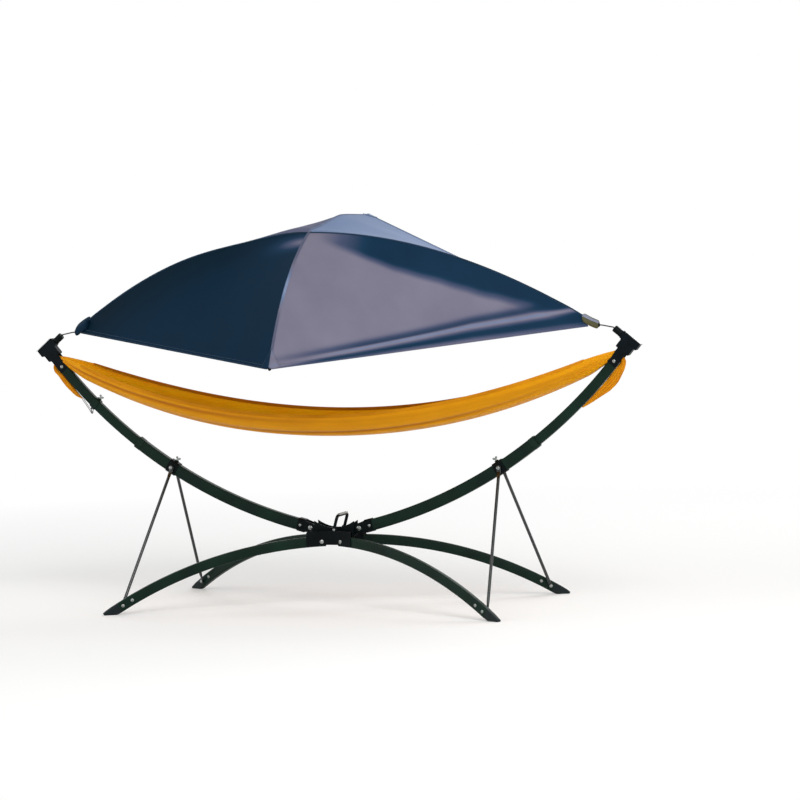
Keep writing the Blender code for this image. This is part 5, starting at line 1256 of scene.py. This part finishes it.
def clothTail(label, side):
    # a leaf of folded cloth that lies along the outer side of the arm
    fullness, widths, count = tail[label]["fullness"], tail["widths"], tail["count"]
    path = smoothPath([tailPlace(label, side, k) for k in range(len(fullness))], tail["steps"])
    turns = [2 * pi * j / count for j in range(count)]
    rings = []
    for i, place in enumerate(path):
        spot = i / tail["steps"]
        k = min(len(widths) - 2, int(spot))
        halfY = tail["wide"] * between(widths[k], widths[k + 1], spot - k)
        halfN = between(fullness[k], fullness[k + 1], spot - k)
        normal = pathAlong(path, i).cross(alongY).normalized()
        ring = []
        for a in turns:
            pleat = 1 - 0.22 * (0.5 + 0.5 * cos(tail["pleats"] * a * 2 + 1.4 * sin(2.5 * spot + a)))
            ring.append(place + alongY * (halfY * pleat * cos(a)) + normal * (halfN * pleat * sin(a)))
        rings.append(ring)
    piece = newPiece("hammockTail_" + label, loftRings(rings), finish["hammockCloth"], "arm_" + label,
                     ("hammock_tail_" + label,), smooth=70)
    # painted shade in the hollows of the pleats
    paintFold(piece.data, [0.10 + 0.45 * (0.5 + 0.5 * cos(2 * tail["pleats"] * a)) for a in turns] * len(rings))


for label, side in sides.items():
    clothTail(label, side)
print("tails made")


# tension ring and cord on the left arm

tension = {"s": 1.238, "lugOut": 0.0308, "ringRadius": 0.011, "ringLift": 0.0005, "ringSteps": 36, "wire": 0.0016,
           "cord": 0.0015, "clear": 0.0003, "spread": 0.006}
lug = armPoint(tension["s"], tension["lugOut"], 0, -1)
ringCentre = lug + alongZ * (tension["ringLift"] - tension["ringRadius"])
ringRings = []
for i in range(tension["ringSteps"]):
    a = 2 * pi * i / tension["ringSteps"]
    out = Vector((0, cos(a), sin(a)))
    ringRings.append(ringAround(ringCentre + out * tension["ringRadius"], out * tension["wire"],
                                alongX * tension["wire"], 10))
ringShape = loftRings(ringRings + [ringRings[0]], capped=False)
bmesh.ops.remove_doubles(ringShape, verts=ringShape.verts, dist=0.00001)
bmesh.ops.recalc_face_normals(ringShape, faces=ringShape.faces)
newPiece("tensionRing", ringShape, finish["greenCoat"], "tension_ring", ("tension_ring",))

# doubled cord from the tail's tip round the ring's lowest point and back
tip = tailPlace("left", -1, 8)
bottom = ringCentre - alongZ * tension["ringRadius"]
line = (tip - bottom).normalized()
reach = (tip - bottom).length - tension["cord"]
loop = (tension["wire"] + tension["clear"] + tension["cord"]) * 1.2
away = line.cross(alongY).normalized()
strand = [(1, 0.35), (0.75, 0.7), (0.5, 1.0), (0.28, 0.8)]
down, up = ([bottom + line * reach * run + (away * loop + alongY * (tension["spread"] / 2 * share)) * way
             for run, share in strand] for way in (1, -1))
bend = [bottom + (line * cos(pi / 2 + pi * i / 6) + away * sin(pi / 2 + pi * i / 6)) * loop for i in range(7)]
cordRoute = down + bend + up[::-1]
cord = newPiece("tensionCord", roundRod(smoothPath(cordRoute, 4), tension["cord"], 12), finish["cord"], None,
                ("tension_cord",))
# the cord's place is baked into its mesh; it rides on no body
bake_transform(cord)
for end in ends:
    repaint("corner_tip_" + end, finish["headNylon"])
print("tension parts made")


# cloth and shade pieces each get their own copy of their mesh

for piece in [hammock, bedStitches] + hems:
    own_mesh(piece)
for piece in [cloth, shadeStitches] + shadeParts + poles:
    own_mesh(piece)


# floor, backdrop and light
studio = {
    "floorSize": 60.0, "floorColour": "#f0f0ef", "floorGlow": 0.14, "glowFrom": 2.4, "glowTo": 6.0,
    "floorZ": -0.0005, "worldColour": "#ffffff", "worldStrength": 0.55,
}


def backgroundRays(owner):
    # 1 for every ray that shows the background: seen straight, in a gloss or through glass
    rays = addNode(owner, "ShaderNodeLightPath").outputs
    seen = rays["Is Camera Ray"]
    for name in ("Is Glossy Ray", "Is Transmission Ray"):
        seen = addNode(owner, "ShaderNodeMath", [(seen, 0), (rays[name], 1)], operation="MAXIMUM").outputs["Value"]
    return seen


# white paper sweep: keeps the shadow near the object and turns to plain white far away
def paperSweep(name):
    material = bpy.data.materials.new(name)
    material.use_nodes = True
    given = material.node_tree.nodes
    given.remove(given["Principled BSDF"])
    place = addNode(material, "ShaderNodeTexCoord")
    away = addNode(material, "ShaderNodeVectorMath", [(place.outputs["Object"], 0)], operation="LENGTH")
    far = addNode(material, "ShaderNodeMapRange", [(away.outputs["Value"], "Value")],
                  in_From_Min=studio["glowFrom"], in_From_Max=studio["glowTo"]).outputs["Result"]
    glow = addNode(material, "ShaderNodeMapRange", [(far, "Value")], in_To_Min=studio["floorGlow"],
                   in_To_Max=1.0).outputs["Result"]
    seen = backgroundRays(material)
    farSeen, glowSeen = (addNode(material, "ShaderNodeMath", [(share, 0), (seen, 1)],
                                 operation="MULTIPLY").outputs["Value"] for share in (far, glow))
    paper = mixedColour(material, farSeen, linear(studio["floorColour"]), (0, 0, 0, 1))
    matte = addNode(material, "ShaderNodeBsdfDiffuse", [(paper, "Color")])
    white = addNode(material, "ShaderNodeEmission", [(glowSeen, "Strength")], in_Color=(1, 1, 1, 1))
    both = addNode(material, "ShaderNodeAddShader", [(matte.outputs["BSDF"], 0), (white.outputs["Emission"], 1)])
    feed(given["Material Output"], "Surface", both.outputs["Shader"])
    return material


def studioFloor():
    shape = bmesh.new()
    bmesh.ops.create_grid(shape, x_segments=1, y_segments=1, size=studio["floorSize"] / 2)
    mesh = bpy.data.meshes.new("studioFloor")
    shape.to_mesh(mesh)
    shape.free()
    mesh.materials.append(paperSweep("palePaper"))
    floorPiece = linkObject("studioFloor", mesh)
    floorPiece.location.z = studio["floorZ"]


def areaLight(name, place, target, size, power):
    lamp = bpy.data.lights.new(name, "AREA")
    lamp.shape = "RECTANGLE"
    lamp.size, lamp.size_y = size
    lamp.energy = power
    direction = Vector(target) - Vector(place)
    turn = direction.to_track_quat("-Z", "Y").to_matrix().to_4x4()
    linkObject(name, lamp).matrix_world = Matrix.Translation(place) @ turn


def studioWorld():
    world = bpy.data.worlds.new("studioWorld")
    bpy.context.scene.world = world
    world.use_nodes = True
    given = world.node_tree.nodes
    back = given["Background"]
    back.inputs["Color"].default_value = linear(studio["worldColour"])
    back.inputs["Strength"].default_value = studio["worldStrength"]
    white = addNode(world, "ShaderNodeBackground", in_Color=(1, 1, 1, 1), in_Strength=1.0)
    mix = addNode(world, "ShaderNodeMixShader", [(backgroundRays(world), "Fac"), (back.outputs["Background"], 1),
                                                 (white.outputs["Background"], 2)])
    feed(given["World Output"], "Surface", mix.outputs["Shader"])


studioFloor()
studioWorld()
areaLight("keyPanel", (3.5, -4.5, 6.0), (0, 0, 0.9), (4.0, 4.0), 230)
areaLight("rearPanel", (1.5, 6.0, 5.0), (0, 0, 1.2), (5.0, 3.0), 140)
areaLight("leftFill", (-5.0, -3.0, 2.5), (0, 0, 0.8), (3.0, 3.0), 50)
areaLight("rightStrip", (4.2, -2.6, 1.0), (0, 0, 0.8), (0.5, 2.6), 26)
bpy.context.scene.view_settings.view_transform = "Standard"
print("studio lit")
